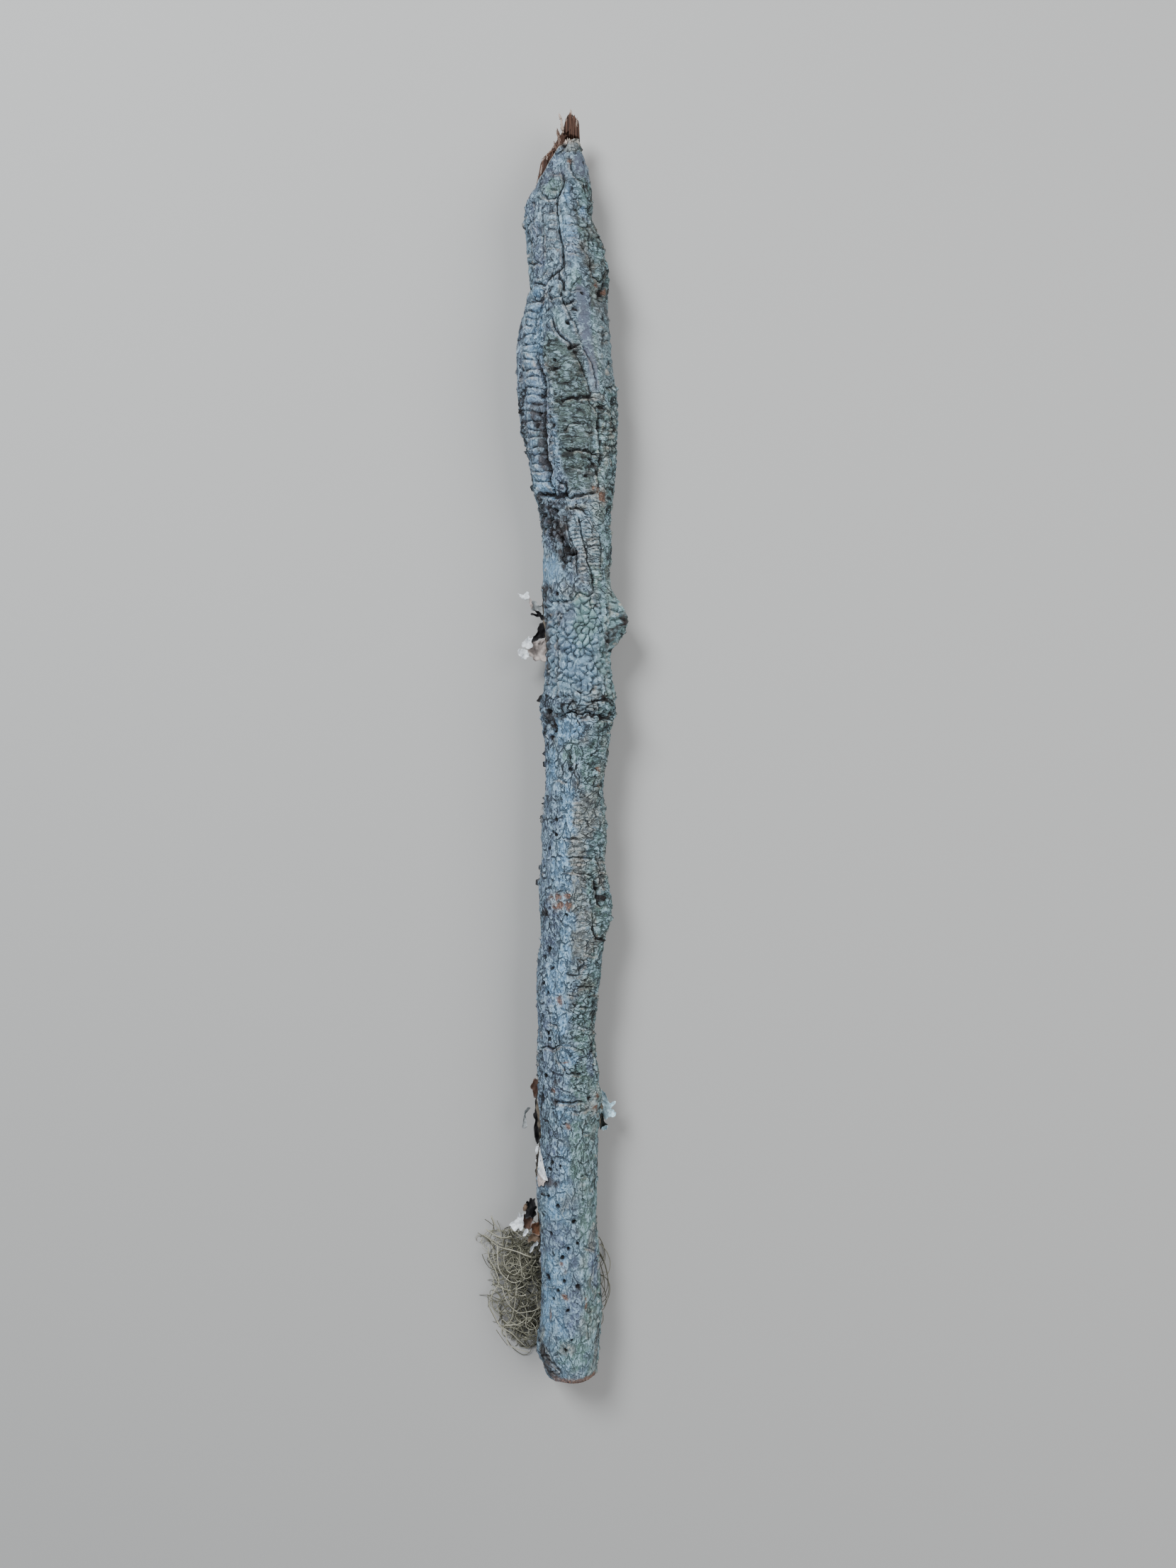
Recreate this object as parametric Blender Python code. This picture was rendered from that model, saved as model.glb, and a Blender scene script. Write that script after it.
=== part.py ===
"""A cut twig with the lichens that grow on it, lying on a flat surface.

The twig is one grown piece: wood, bark and the crust lichen on the bark. The leafy lichens and the beard lichen
are pieces of their own. The broken tip points to +Y, and the origin is at the bottom centre of the whole.
Sizes are in millimetres and angles in degrees. A place on the twig is its distance along from the cut foot, and
its angle round: 0 on top, 90 towards +X, 180 beneath.
"""

import math

import bmesh
import bpy
import numpy as np
from mathutils import Vector, noise

MM = 0.001
GAP = 0.3
UP = Vector((0, 0, 1))

# Left and right edges of the bark seen from above: (along, left, right)
BARK_EDGES = (
    (0, -9.5, 9.5), (8, -13, 11), (18, -12, 11.5), (32, -11, 11), (54, -12, 10), (72, -13, 9.5),
    (88, -11.5, 10), (102, -12, 11.5), (116, -12.5, 9.5), (129, -13, 9), (149, -12.5, 11), (162, -12, 12),
    (170, -12, 14.5), (181, -12, 14.5), (195, -11, 12.5), (205, -11, 13.5), (222, -10, 12), (233, -9.5, 13.5),
    (242, -10.5, 15), (249, -11, 16.5), (258, -10.5, 15.5), (267, -9, 14), (278, -9, 15), (291, -11, 15),
    (306, -10, 15), (321, -11.5, 15), (329, -14, 16), (340, -16, 17), (347, -18, 17.5), (359, -19.5, 17.5),
    (367, -20.5, 17.5), (378, -20.5, 15.5), (388, -20, 14.5), (395, -18.5, 13.5), (408, -16, 14),
    (416, -16.5, 13), (422, -16.5, 12), (430, -17.5, 8), (439, -17, 7.5), (446, -13, 7), (452, -9, 6.5),
    (460, -5.5, 5.2),
)
# Half the twig's depth, and how high its middle lies: (along, half depth, height)
BARK_DEPTHS = (
    (0, 10.5, 11.2), (10, 11, 11.5), (30, 10.8, 13), (60, 10.8, 14), (120, 10.8, 14.5), (200, 11.2, 15),
    (248, 12.5, 15.2), (300, 12.2, 15.3), (330, 13.5, 15.5), (365, 15.8, 15.5), (400, 15.2, 15.4),
    (430, 12.5, 15), (448, 10, 14.3), (460, 6.2, 13.7),
)
# The bare wood past the bark, in the same way
WOOD_EDGES = ((438, -14.3, 6), (446, -12.2, 5.6), (451, -10.8, 5), (457, -6.8, 4.2), (461, -4.8, 3.4), (467, -3.8, 2.8))
WOOD_DEPTHS = ((438, 10.5, 14.8), (448, 8.4, 14.2), (457, 4.6, 13.7), (467, 2.8, 13.5))

# Where the bark ends round the broken tip: (angle, along)
BARK_END = (
    (-180, 448), (-150, 443), (-120, 440), (-90, 439), (-60, 444), (-30, 452), (0, 459), (30, 457.5), (60, 456),
    (90, 453), (120, 450), (150, 451), (180, 448),
)
WOOD_END = 466
SLANT_START = 424
SPLINTERS = {
    "middle": dict(base=(-0.6, 460, 14.5), tip=(-0.3, 474, 15), radius=1.7),
    "left": dict(base=(-2.6, 460, 13.5), tip=(-4.2, 472.5, 14), radius=1.1),
    "right": dict(base=(1.4, 460, 13.5), tip=(2.6, 470.5, 14.4), radius=1.3),
    "under": dict(base=(-0.8, 460, 11.8), tip=(-1.6, 469.5, 11.2), radius=1.2),
    "beside the slant": dict(base=(-11, 441, 15), tip=(-10.6, 452.5, 16.6), radius=1),
}

# Rings of the bark: (from, to, most between rings), and the columns round it
RING_SPANS = ((0, 12, 4), (12, 236, 6.8), (236, 262, 2.9), (262, 300, 3.5), (300, SLANT_START, 4.4))
SLANT_RINGS = 7
COLUMNS = 24

# Low swellings and hollows: (along, angle, length, width, height)
LUMPS = (
    (6, 156, 6, 3.5, 2.2), (6, 204, 6, 3.5, 2.2), (13, -60, 5, 4, 1.4), (3, -42, 2.5, 2.5, 0.7),
    (103, 50, 5, 4, 1.5), (107, 40, 2, 3, 0.6), (176, 88, 5, 4, 0.8), (205, 95, 3, 3, 0.7), (66, 130, 5, 4, 0.9),
    (148, -140, 7, 5, 1), (190, 160, 9, 6, 0.9), (250, 7, 2.6, 7, 1.7), (250, 52, 3.2, 3.6, 1.7),
    (249, 110, 3, 8, 1.3), (248, 165, 3, 9, 1.3), (249, -130, 3, 9, 1.4), (249, -75, 2.6, 5, 0.8),
    (243, -50, 3.2, 3.5, -1.4), (245, 64, 2, 2, -1.2), (292, -68, 3.5, 3, -1), (270, 20, 6, 6, 0.6),
    (277, -20, 7, 5, 0.7), (300, -30, 8, 6, 0.6), (324, 2, 2.2, 3, -1.6), (316, -26, 7, 5, -0.8),
    (360, 43, 5, 4, 1.3), (348, 55, 3, 3, 0.9), (366, 4, 16, 8, 0.7), (396, 7, 3.6, 3.6, 1.3),
    (400, -14, 3.4, 3, 1), (405, 0, 3, 5, 0.9), (400, -40, 3, 3, 1), (409, 54, 4.5, 4, 1.3),
    (401, 58, 3, 3, -1.2), (424, 20, 10, 6, 0.8), (422, -28, 9, 6, 0.9), (438, -20, 6, 5, 0.7),
    (310, 150, 12, 7, 1), (420, 150, 12, 6, 1), (424, -150, 10, 6, 1), (332, -160, 8, 7, 1.2),
)
STUB = dict(along=282, angle=88, length=11, width=8.5, height=8)

# Ridges (height above 0) and long grooves (below 0) that run along the bark: height, width and places
RIDGES = {
    "rests beneath, right": (2.2, 3.6, ((328, 148), (344, 150), (372, 150), (404, 149), (416, 147))),
    "rests beneath, left": (2.2, 3.6, ((326, 212), (344, 210), (372, 210), (404, 211), (418, 213))),
    "left slanting strip": (1.1, 2.4, ((320, -6), (312, 2), (305, 9), (297, 16), (290, 20))),
    "right slanting strip": (1.2, 2.6, ((322, 13), (313, 20), (306, 29), (299, 39), (292, 46))),
    "strip over the panel": (1.3, 2.6, ((397, -24), (391, -13), (384, 4), (378, 17), (372, 24))),
}
GROOVES = {
    "left of the panel": (-2.8, 1.7, ((397, -35), (389, -36), (378, -42), (369, -31), (356, -33), (344, -36), (331, -36))),
    "right of the panel": (-2.2, 1.5, ((374, 22), (369, 27), (363, 31), (357, 41), (352, 44), (344, 38), (336, 47))),
    "left strip": (-1.2, 1.4, ((420, -66), (402, -72), (384, -68), (366, -70), (348, -74))),
    "far right": (-1.5, 1.4, ((376, 74), (360, 67), (350, 69), (336, 74), (318, 72))),
    "between the slanting strips": (-1.6, 1.3, ((324, 2), (315, 7), (309, 14), (303, 22), (298, 28), (292, 30))),
    "between the upper plates": (-1.4, 1.4, ((446, 4), (437, -3), (428, -5), (420, -7), (408, -6))),
    "right of the upper plates": (-1.3, 1.4, ((452, 38), (440, 30), (428, 30), (414, 34))),
    "beneath, right": (-1.8, 1.6, ((412, 112), (392, 118), (370, 112), (345, 116), (325, 122))),
    "beneath, middle": (-2.4, 1.8, ((424, 176), (400, 181), (372, 178), (345, 182), (322, 179))),
    "beneath, left": (-1.8, 1.6, ((410, -114), (386, -106), (362, -112), (338, -116))),
    "shaft, right": (-0.7, 1.3, ((232, 34), (210, 42), (188, 36), (166, 44))),
    "shaft, left": (-0.6, 1.3, ((226, -30), (200, -24), (172, -32), (146, -26))),
    "shaft, beneath": (-0.8, 1.5, ((236, 168), (200, 176), (160, 170), (120, 178), (84, 172))),
}

# Cracks across the bark, cut as a V: width, depth and places
CRACKS = {
    "panel, upper": (1.5, 1.3, ((359.8, -14), (360.6, 6), (361.8, 30))),
    "panel, second": (1.3, 1.1, ((350.7, -4), (350.9, 22))),
    "panel, third": (1.4, 1.2, ((342.7, -16), (342.7, 14), (341.6, 30))),
    "panel, lowest": (1.2, 1, ((335.6, -8), (335.2, 20))),
    "end of the swelling": (2.4, 2, ((327, -62), (326.3, -46), (326, -26), (325.4, -8))),
    "over the stub": (1.5, 1.1, ((289, -50), (287.5, -32), (287.6, -16), (289.6, 2), (289.7, 19), (291, 28))),
    "over the collar": (1.3, 1, ((255.6, -9), (253.8, 13), (256.2, 33))),
    "collar": (2, 1.7, ((245.3, -34), (246.5, -15), (245.2, -1), (246.6, 18), (246.4, 33), (245.3, 54))),
    "collar, behind": (1.8, 1.3, ((244.6, 120), (245.6, 150), (244.2, 180), (245.4, 214), (244.8, 238))),
    "upper left plate": (1.5, 1.2, ((413.5, -66), (411.6, -50), (410.8, -36), (409.6, -16))),
    "upper right plate": (1.3, 1.1, ((416, 4), (414.6, 18), (416.4, 30))),
    "upper plates": (1.2, 0.9, ((432, 8), (433.4, 26))),
    "left strip, upper": (1.2, 1, ((392, -60), (391, -44))),
    "left strip, middle": (1.2, 1, ((371.6, -62), (372.2, -40))),
    "left strip, lower": (1.2, 1, ((349, -66), (350, -42))),
    "shaft, left": (1, 0.8, ((123.1, -74), (123.6, -40), (124.7, -11))),
    "shaft, middle": (1, 0.8, ((115.1, -14), (114.9, 25))),
    "shaft, low": (1, 0.8, ((104.3, -23), (104.1, 30))),
    "shaft, high": (1, 0.8, ((208, 8), (209.6, 30))),
    "shaft, upper middle": (1, 0.8, ((180, 4), (179, 30))),
}
# Cracks that nobody sees from above: (along, middle angle, angle to each side)
HIDDEN_CRACKS = (
    (62, 150, 26), (97, 215, 24), (139, 140, 28), (183, 205, 24), (221, 145, 26), (275, 200, 30), (303, 160, 24),
    (351, 134, 12), (363, 228, 12), (385, 130, 12), (394, 232, 12), (429, 205, 22),
)

# Small round holes in the lower bark: (along, angle)
HOLES = (
    (160.5, -45), (157, -53), (153, -31), (135, -48), (129.5, -37), (126, -39), (114, -45), (82.5, -29),
    (79.5, -34), (69.5, -37), (66.5, -18), (61.5, -49), (60, 12), (55.5, -34), (48, -30), (46.5, -11),
    (38.5, -47), (38, -13), (35.5, 13), (33.5, -24), (30, -34), (26.5, -4),
)
HOLE = dict(radius=0.95, depth=1.1, sides=5)

# Leafy lichens. A lobe is a flat ribbon: (width, x, along, height above the surface) from its root to its end.
# A root is the pad on the bark that its lobes grow from: (along, angle) places on the bark.
LEAFY = {
    "leafy_lichen_upper_left": dict(
        root=((266, -112), (278, -108), (290, -110)),
        lobes=(
            ((3, -8, 287, 9), (2.2, -12.5, 288, 10), (1.7, -15, 289, 11.5), (3.4, -18, 291.3, 13), (2, -20.3, 292.3, 13.6)),
            ((6, -8, 286.5, 8.5), (5, -11, 286.8, 10), (4, -14, 287, 11.4), (1.8, -15.6, 287.2, 12.4)),
            ((4.6, -8, 282.4, 10.2), (3.2, -11.5, 283.4, 9.4), (1.6, -14.6, 284, 8.2)),
            ((8, -8, 278.5, 8), (5.4, -12, 278.2, 9), (1.8, -15.4, 276.6, 9.6)),
            ((7.5, -8, 271, 8), (8, -12, 270.6, 10), (7.4, -16.5, 270.8, 11.6), (3, -20.4, 270.4, 12.8)),
        ),
    ),
    "leafy_lichen_left_middle": dict(
        root=((108, -106), (97, -102), (87, -100)),
        lobes=(
            ((6.6, -10, 107, 9.5), (5.4, -13, 107, 10.6), (3, -15.2, 106.2, 11)),
            ((3, -10.5, 101, 8.6), (2.4, -14, 100.6, 9.8), (2.1, -16.6, 99.4, 11.2), (2, -18, 96.6, 11.6),
             (1.5, -17.4, 92.4, 10.6)),
        ),
    ),
    "leafy_lichen_left_strip": dict(
        root=((85, -70), (80, -76), (74.5, -78), (70.5, -74)),
        lobes=(
            ((3.6, -10.5, 81, 17), (4.2, -13, 79, 15.6), (2, -15, 77.6, 14.2)),
        ),
    ),
    "leafy_lichen_left_low": dict(
        root=((65, -108), (56, -110), (47, -106)),
        lobes=(
            ((4, -10.5, 62, 8.6), (4.4, -14, 62, 10), (4, -16, 60, 11), (2.6, -17.2, 56.6, 11)),
            ((5, -10.5, 58, 8), (5, -15, 58, 9.4), (6, -18, 57.5, 11.4), (7.4, -21, 57.5, 12.8), (3.4, -23.6, 57.4, 13)),
            ((3.4, -12, 54, 8.6), (3, -15, 53.4, 9.6), (1.8, -17.6, 52.6, 10.8)),
            ((3.4, -10.5, 49, 9.4), (3, -13.5, 48, 10.8), (1.5, -15.2, 45.8, 11.4)),
        ),
    ),
    "leafy_lichen_right": dict(
        root=((105, 108), (98, 106), (91.5, 108)),
        lobes=(
            ((5, 9.5, 104, 9.4), (4.6, 12, 104.4, 10.8), (2.4, 13.6, 104.6, 11.4)),
            ((6, 9.5, 99, 9), (6, 12.6, 99, 10.8), (4, 15, 100.6, 12), (1.5, 16.8, 102.4, 12.6)),
            ((4, 10, 97, 8.8), (3, 14.2, 96.6, 9.8), (2, 17, 96.8, 10)),
            ((3.2, 9.5, 93, 9), (2, 14, 92.2, 10)),
        ),
    ),
}
LOBE_THICKNESS = 1.3
LOBE_SIDES = 6
ROOT_WIDTH = 5.4
ROOT_THICKNESS = 2.6
ROOT_LIFT = 1

# The beard lichen's tangle: its outline on the surface (x, along), the middle of it, and its height
BEARD_OUTLINE = (
    (-12, 48), (-19, 50.5), (-27, 49.5), (-36, 47), (-34, 39), (-30, 32), (-32.5, 24), (-29.5, 17), (-26, 9.5),
    (-22, 4.5), (-17, 3), (-11, 6), (-2, 14), (8, 22), (14.5, 26), (15, 41), (8, 45), (-2, 47),
)
BEARD_MIDDLE = (-13, 29)
BEARD_HEIGHT = 13.5
BEARD_RIGHT_HEIGHT = 6
BEARD_RINGS = (1, 0.86, 0.66, 0.42, 0.2)

COLOURS = {
    "bark": ((0.43, 0.49, 0.47), 0.9),
    "leafy": ((0.66, 0.63, 0.56), 0.8),
    "pale leafy": ((0.62, 0.72, 0.68), 0.8),
    "beard": ((0.36, 0.33, 0.2), 0.85),
}


def clear_scene():
    for thing in list(bpy.data.objects):
        bpy.data.objects.remove(thing, do_unlink=True)


def through(points, place):
    """Reads the smooth curves that run through rows of (place, value, value...)."""
    table = np.array(points, float)
    known, values = table[:, 0], table[:, 1:]
    slopes = np.gradient(values, known, axis=0)
    place = np.clip(place, known[0], known[-1])
    after = np.clip(np.searchsorted(known, place), 1, len(known) - 1)
    span = known[after] - known[after - 1]
    t = (place - known[after - 1]) / span
    start, end = values[after - 1].T, values[after].T
    leave, arrive = slopes[after - 1].T * span, slopes[after].T * span
    return (
        start * (2 * t**3 - 3 * t**2 + 1)
        + leave * (t**3 - 2 * t**2 + t)
        + end * (3 * t**2 - 2 * t**3)
        + arrive * (t**3 - t**2)
    )


def section(edges, depths, along):
    """The middle (x, height) and the two half sizes of an oval section."""
    left, right = through(edges, along)
    depth, height = through(depths, along)
    return (left + right) / 2, height, (right - left) / 2, depth


def oval_radius(half_width, half_depth, angle):
    return 1 / np.sqrt((np.sin(angle) / half_width) ** 2 + (np.cos(angle) / half_depth) ** 2)


def turned(angle, other):
    """The angle from other to angle, between -180 and 180 degrees, both in radians."""
    return (angle - other + math.pi) % (2 * math.pi) - math.pi


def path_angle(places, along):
    """A ridge's or groove's angle at each place along, in radians, and how far it has faded there."""
    rows = sorted(places)
    start, end = rows[0][0], rows[-1][0]
    angle = np.radians(through(rows, along)[0])
    fade = 4.0
    strength = np.clip((along - start) / fade + 0.5, 0, 1) * np.clip((end - along) / fade + 0.5, 0, 1)
    return angle, strength


def roughness(along, angle, size, seed):
    """Soft noise over the bark, with bumps about this size."""
    reach = 13 / size
    value = np.empty(np.shape(along))
    for index in np.ndindex(value.shape):
        turn = angle[index]
        spot = Vector((math.sin(turn) * reach, math.cos(turn) * reach, along[index] / size + seed))
        value[index] = noise.noise(spot)
    return value


def relief(along, angle, radius):
    """How far the bark stands above the plain oval section."""
    height = 0.9 * roughness(along, angle, 16, 3) + 0.5 * roughness(along, angle, 7, 40)
    for spot, turn, length, width, rise in LUMPS:
        across = radius * turned(angle, math.radians(turn))
        height = height + rise * np.exp(-(((along - spot) / length) ** 2) - (across / width) ** 2)
    across = radius * turned(angle, math.radians(STUB["angle"]))
    away = np.sqrt(((along - STUB["along"]) / STUB["length"]) ** 2 + (across / STUB["width"]) ** 2)
    height = height + STUB["height"] * np.clip(1 - away, 0, 1) ** 0.8
    for rise, width, places in list(RIDGES.values()) + list(GROOVES.values()):
        turn, strength = path_angle(places, along)
        across = radius * turned(angle, turn)
        height = height + rise * strength * np.exp(-((across / width) ** 2))
    return height


def bark_point(along, angle, lift=0.0):
    """Points on the bark, lifted off it by so much: arrays of x, y and z in millimetres."""
    along, angle = np.broadcast_arrays(np.asarray(along, float), np.asarray(angle, float))
    x, height, half_width, half_depth = section(BARK_EDGES, BARK_DEPTHS, along)
    radius = oval_radius(half_width, half_depth, angle)
    radius = radius + relief(along, angle, radius) + lift
    z = height + radius * np.cos(angle)
    return np.stack([x + radius * np.sin(angle), along, np.maximum(z, 0)], axis=-1)


def one_bark_point(along, degrees, lift=0.0):
    return Vector(bark_point([along], [math.radians(degrees)], lift)[0])


def wood_point(along, angle, lift=0.0):
    x, height, half_width, half_depth = section(WOOD_EDGES, WOOD_DEPTHS, along)
    radius = oval_radius(half_width, half_depth, angle) + lift
    return np.stack([x + radius * np.sin(angle), along, height + radius * np.cos(angle)], axis=-1)


def ring_places():
    places = []
    for start, end, step in RING_SPANS:
        count = math.ceil((end - start) / step)
        places += [start + (end - start) * i / count for i in range(count)]
    return places + [SLANT_START]


def column_angles(along):
    """Evenly spaced columns, the nearest of which is drawn onto each groove and ridge that passes."""
    angles = np.radians(-180 + 360 * (np.arange(COLUMNS) + 0.5) / COLUMNS)
    taken = set()
    for _, _, places in list(GROOVES.values()) + list(RIDGES.values()):
        turn, strength = path_angle(places, np.array([along]))
        nearest = int(np.argmin(np.abs(turned(angles, turn[0]))))
        if strength[0] > 0 and nearest not in taken:
            angles[nearest] += turned(turn[0], angles[nearest])
            taken.add(nearest)
    return angles


def bark_end_at(angle):
    return through(BARK_END, np.degrees(turned(angle, 0)))[0] + 0.8 * np.sin(7 * angle) + 0.5 * np.sin(13 * angle)


def twig_rings(lift):
    """The rings of points from the foot to the broken wood, each an array of COLUMNS points."""
    rings = []
    foot = column_angles(0)
    rings.append(bark_point(0.0, foot, lift - 2.5))
    for along in ring_places():
        rings.append(bark_point(along, column_angles(along), lift))
    angles = column_angles(SLANT_START)
    end = bark_end_at(angles)
    for i in range(1, SLANT_RINGS + 1):
        rings.append(bark_point(SLANT_START + (end - SLANT_START) * i / SLANT_RINGS, angles, lift))
    wood_end = WOOD_END + 1.2 * np.sin(5 * angles) - 0.8 * np.cos(3 * angles)
    for part in (0, 0.25, 0.5, 0.75, 1):
        rings.append(wood_point(end + (wood_end - end) * part, angles, lift))
    return rings


def twig_mesh(name, lift=0.0):
    """A closed tube through the rings, with a fan over each end."""
    rings = twig_rings(lift)
    bm = bmesh.new()
    loops = [[bm.verts.new(Vector(point) * MM) for point in ring] for ring in rings]
    for near, far in zip(loops, loops[1:]):
        for i in range(COLUMNS):
            j = (i + 1) % COLUMNS
            bm.faces.new((near[j], near[i], far[i], far[j]))
    for loop, ring, dent in ((loops[0], rings[0], 0.6), (loops[-1], rings[-1], -1.6)):
        middle = bm.verts.new(Vector(ring.mean(axis=0) + np.array((0, dent, 0))) * MM)
        for i in range(COLUMNS):
            bm.faces.new((loop[i], loop[(i + 1) % COLUMNS], middle))
    bmesh.ops.recalc_face_normals(bm, faces=bm.faces)
    return finished(bm, name)


def finished(bm, name):
    bmesh.ops.triangulate(bm, faces=[face for face in bm.faces if len(face.verts) > 3])
    mesh = bpy.data.meshes.new(name)
    bm.to_mesh(mesh)
    bm.free()
    thing = bpy.data.objects.new(name, mesh)
    bpy.context.collection.objects.link(thing)
    return thing


def prism(bm, loops):
    """Closes a run of equal loops of points into one solid."""
    rings = [[bm.verts.new(point * MM) for point in loop] for loop in loops]
    faces = [bm.faces.new(rings[0]), bm.faces.new(rings[-1][::-1])]
    sides = len(rings[0])
    for near, far in zip(rings, rings[1:]):
        for i in range(sides):
            j = (i + 1) % sides
            faces.append(bm.faces.new((near[j], near[i], far[i], far[j])))
    bmesh.ops.recalc_face_normals(bm, faces=faces)


def crack(bm, width, depth, places):
    """A V-shaped wedge along these places, which thins out at both ends."""
    above = 1.6
    points = [one_bark_point(*place) for place in places]
    loops = []
    for i, (along, degrees) in enumerate(places):
        out = (one_bark_point(along, degrees, 1) - points[i]).normalized()
        run = (points[min(i + 1, len(points) - 1)] - points[max(i - 1, 0)]).normalized()
        side = run.cross(out).normalized()
        inner = 0 < i < len(places) - 1 or len(places) == 2
        reach = depth if inner else depth * 0.45
        half = width / 2 * (reach + above) / reach if inner else width * 0.9
        top = points[i] + out * above
        loops.append([top - side * half, points[i] - out * reach, top + side * half])
    prism(bm, loops)


def hole(bm, along, degrees):
    """A short tapered plug, set square to the bark."""
    centre = one_bark_point(along, degrees)
    out = (one_bark_point(along, degrees, 1) - centre).normalized()
    side = out.orthogonal().normalized()
    other = out.cross(side)
    loops = []
    for height, size in ((-HOLE["depth"], 0.6), (1.4, 1.25)):
        loop = []
        for i in range(HOLE["sides"]):
            turn = 2 * math.pi * i / HOLE["sides"]
            reach = HOLE["radius"] * size
            loop.append(centre + out * height + (side * math.cos(turn) + other * math.sin(turn)) * reach)
        loops.append(loop)
    prism(bm, loops)


def splinter(name, base, tip, radius):
    """A four-sided spike of torn wood."""
    base, tip = Vector(base), Vector(tip)
    run = (tip - base).normalized()
    side = run.cross(UP).normalized()
    other = run.cross(side)
    loops = []
    for part, size in ((0, 1), (0.6, 0.75), (1, 0.14)):
        centre = base.lerp(tip, part)
        corners = (side, other * 0.7, -side, -other * 0.7)
        loops.append([centre + corner * radius * size for corner in corners])
    bm = bmesh.new()
    prism(bm, loops)
    return finished(bm, name)


def hide(helper):
    helper.hide_render = True
    helper.display_type = "WIRE"


def combine(thing, helper, operation):
    modifier = thing.modifiers.new(f"{operation.lower()} {helper.name}", "BOOLEAN")
    modifier.operation = operation
    modifier.object = helper
    hide(helper)


def bark_cutter():
    bm = bmesh.new()
    for width, depth, places in CRACKS.values():
        crack(bm, width, depth, places)
    for along, middle, reach in HIDDEN_CRACKS:
        places = [(along + 0.8, middle - reach), (along - 0.6, middle), (along + 0.7, middle + reach)]
        crack(bm, 1.2, 1, places)
    for along, degrees in HOLES:
        hole(bm, along, degrees)
    return finished(bm, "cracks and holes")


def make_twig():
    twig = twig_mesh("twig")
    for name, shape in SPLINTERS.items():
        combine(twig, splinter(f"splinter {name}", **shape), "UNION")
    combine(twig, bark_cutter(), "DIFFERENCE")
    return twig


def ribbon(name, rows, thickness):
    """A flat lobe along a path: each row is (width, point), with an outward direction worked out from the bend."""
    loops = []
    for i, (width, point) in enumerate(rows):
        run = (rows[min(i + 1, len(rows) - 1)][1] - rows[max(i - 1, 0)][1]).normalized()
        side = run.cross(UP).normalized()
        face = side.cross(run).normalized()
        loop = []
        for k in range(LOBE_SIDES):
            turn = 2 * math.pi * k / LOBE_SIDES
            loop.append(point + side * math.cos(turn) * width / 2 + face * math.sin(turn) * thickness / 2)
        loops.append(loop)
    bm = bmesh.new()
    prism(bm, loops)
    return finished(bm, name)


def root_pad(name, places):
    """The pad on the bark that the lobes grow from."""
    loops = []
    for along, degrees in places:
        point = one_bark_point(along, degrees, ROOT_LIFT)
        out = (one_bark_point(along, degrees, ROOT_LIFT + 1) - point).normalized()
        round_bark = out.cross(Vector((0, 1, 0))).normalized()
        size = 0.7 if along in (places[0][0], places[-1][0]) else 1
        loop = []
        for k in range(LOBE_SIDES):
            turn = 2 * math.pi * k / LOBE_SIDES
            across = round_bark * math.cos(turn) * size * ROOT_WIDTH / 2
            loop.append(point + across + out * math.sin(turn) * ROOT_THICKNESS / 2)
        loops.append(loop)
    bm = bmesh.new()
    prism(bm, loops)
    return finished(bm, name)


def make_leafy(name, root, lobes, clearance):
    lichen = root_pad(name, root)
    for i, lobe in enumerate(lobes):
        rows = [(width, Vector((x, along, z))) for width, x, along, z in lobe]
        combine(lichen, ribbon(f"{name} lobe {i + 1}", rows, LOBE_THICKNESS), "UNION")
    combine(lichen, clearance, "DIFFERENCE")
    return lichen


def make_beard(clearance):
    """A lumpy heap of the tangle's outline, thin where it runs beneath the twig."""
    corners = np.array(BEARD_OUTLINE, float)
    middle = np.array(BEARD_MIDDLE, float)
    outline = np.empty((2 * len(corners), 2))
    outline[::2] = corners
    outline[1::2] = (9 * (corners + np.roll(corners, -1, 0)) - np.roll(corners, 1, 0) - np.roll(corners, -2, 0)) / 16
    bm = bmesh.new()
    floor = [bm.verts.new(Vector((x, y, 0)) * MM) for x, y in middle + (outline - middle) * 0.96]
    loops = [floor]
    for size in BEARD_RINGS:
        loop = []
        for x, y in middle + (outline - middle) * size:
            side = np.clip((x + 6) / 12, 0, 1)
            top = BEARD_HEIGHT + (BEARD_RIGHT_HEIGHT - BEARD_HEIGHT) * side
            lumps = 1 + 0.35 * noise.noise(Vector((x / 7, y / 7, 5)))
            z = 1.2 + (top - 1.2) * (1 - size**2) ** 0.7 * lumps
            loop.append(bm.verts.new(Vector((x, y, z)) * MM))
        loops.append(loop)
    for near, far in zip(loops, loops[1:]):
        for i in range(len(near)):
            j = (i + 1) % len(near)
            bm.faces.new((near[i], near[j], far[j], far[i]))
    bm.faces.new(loops[0][::-1])
    bm.faces.new(loops[-1])
    bmesh.ops.recalc_face_normals(bm, faces=bm.faces)
    beard = finished(bm, "beard_lichen")
    combine(beard, clearance, "DIFFERENCE")
    return beard


def material(name):
    colour, roughness_value = COLOURS[name]
    made = bpy.data.materials.new(name)
    made.use_nodes = True
    shader = made.node_tree.nodes["Principled BSDF"]
    shader.inputs["Base Color"].default_value = (*colour, 1)
    shader.inputs["Roughness"].default_value = roughness_value
    shader.inputs["Metallic"].default_value = 0
    return made


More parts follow.
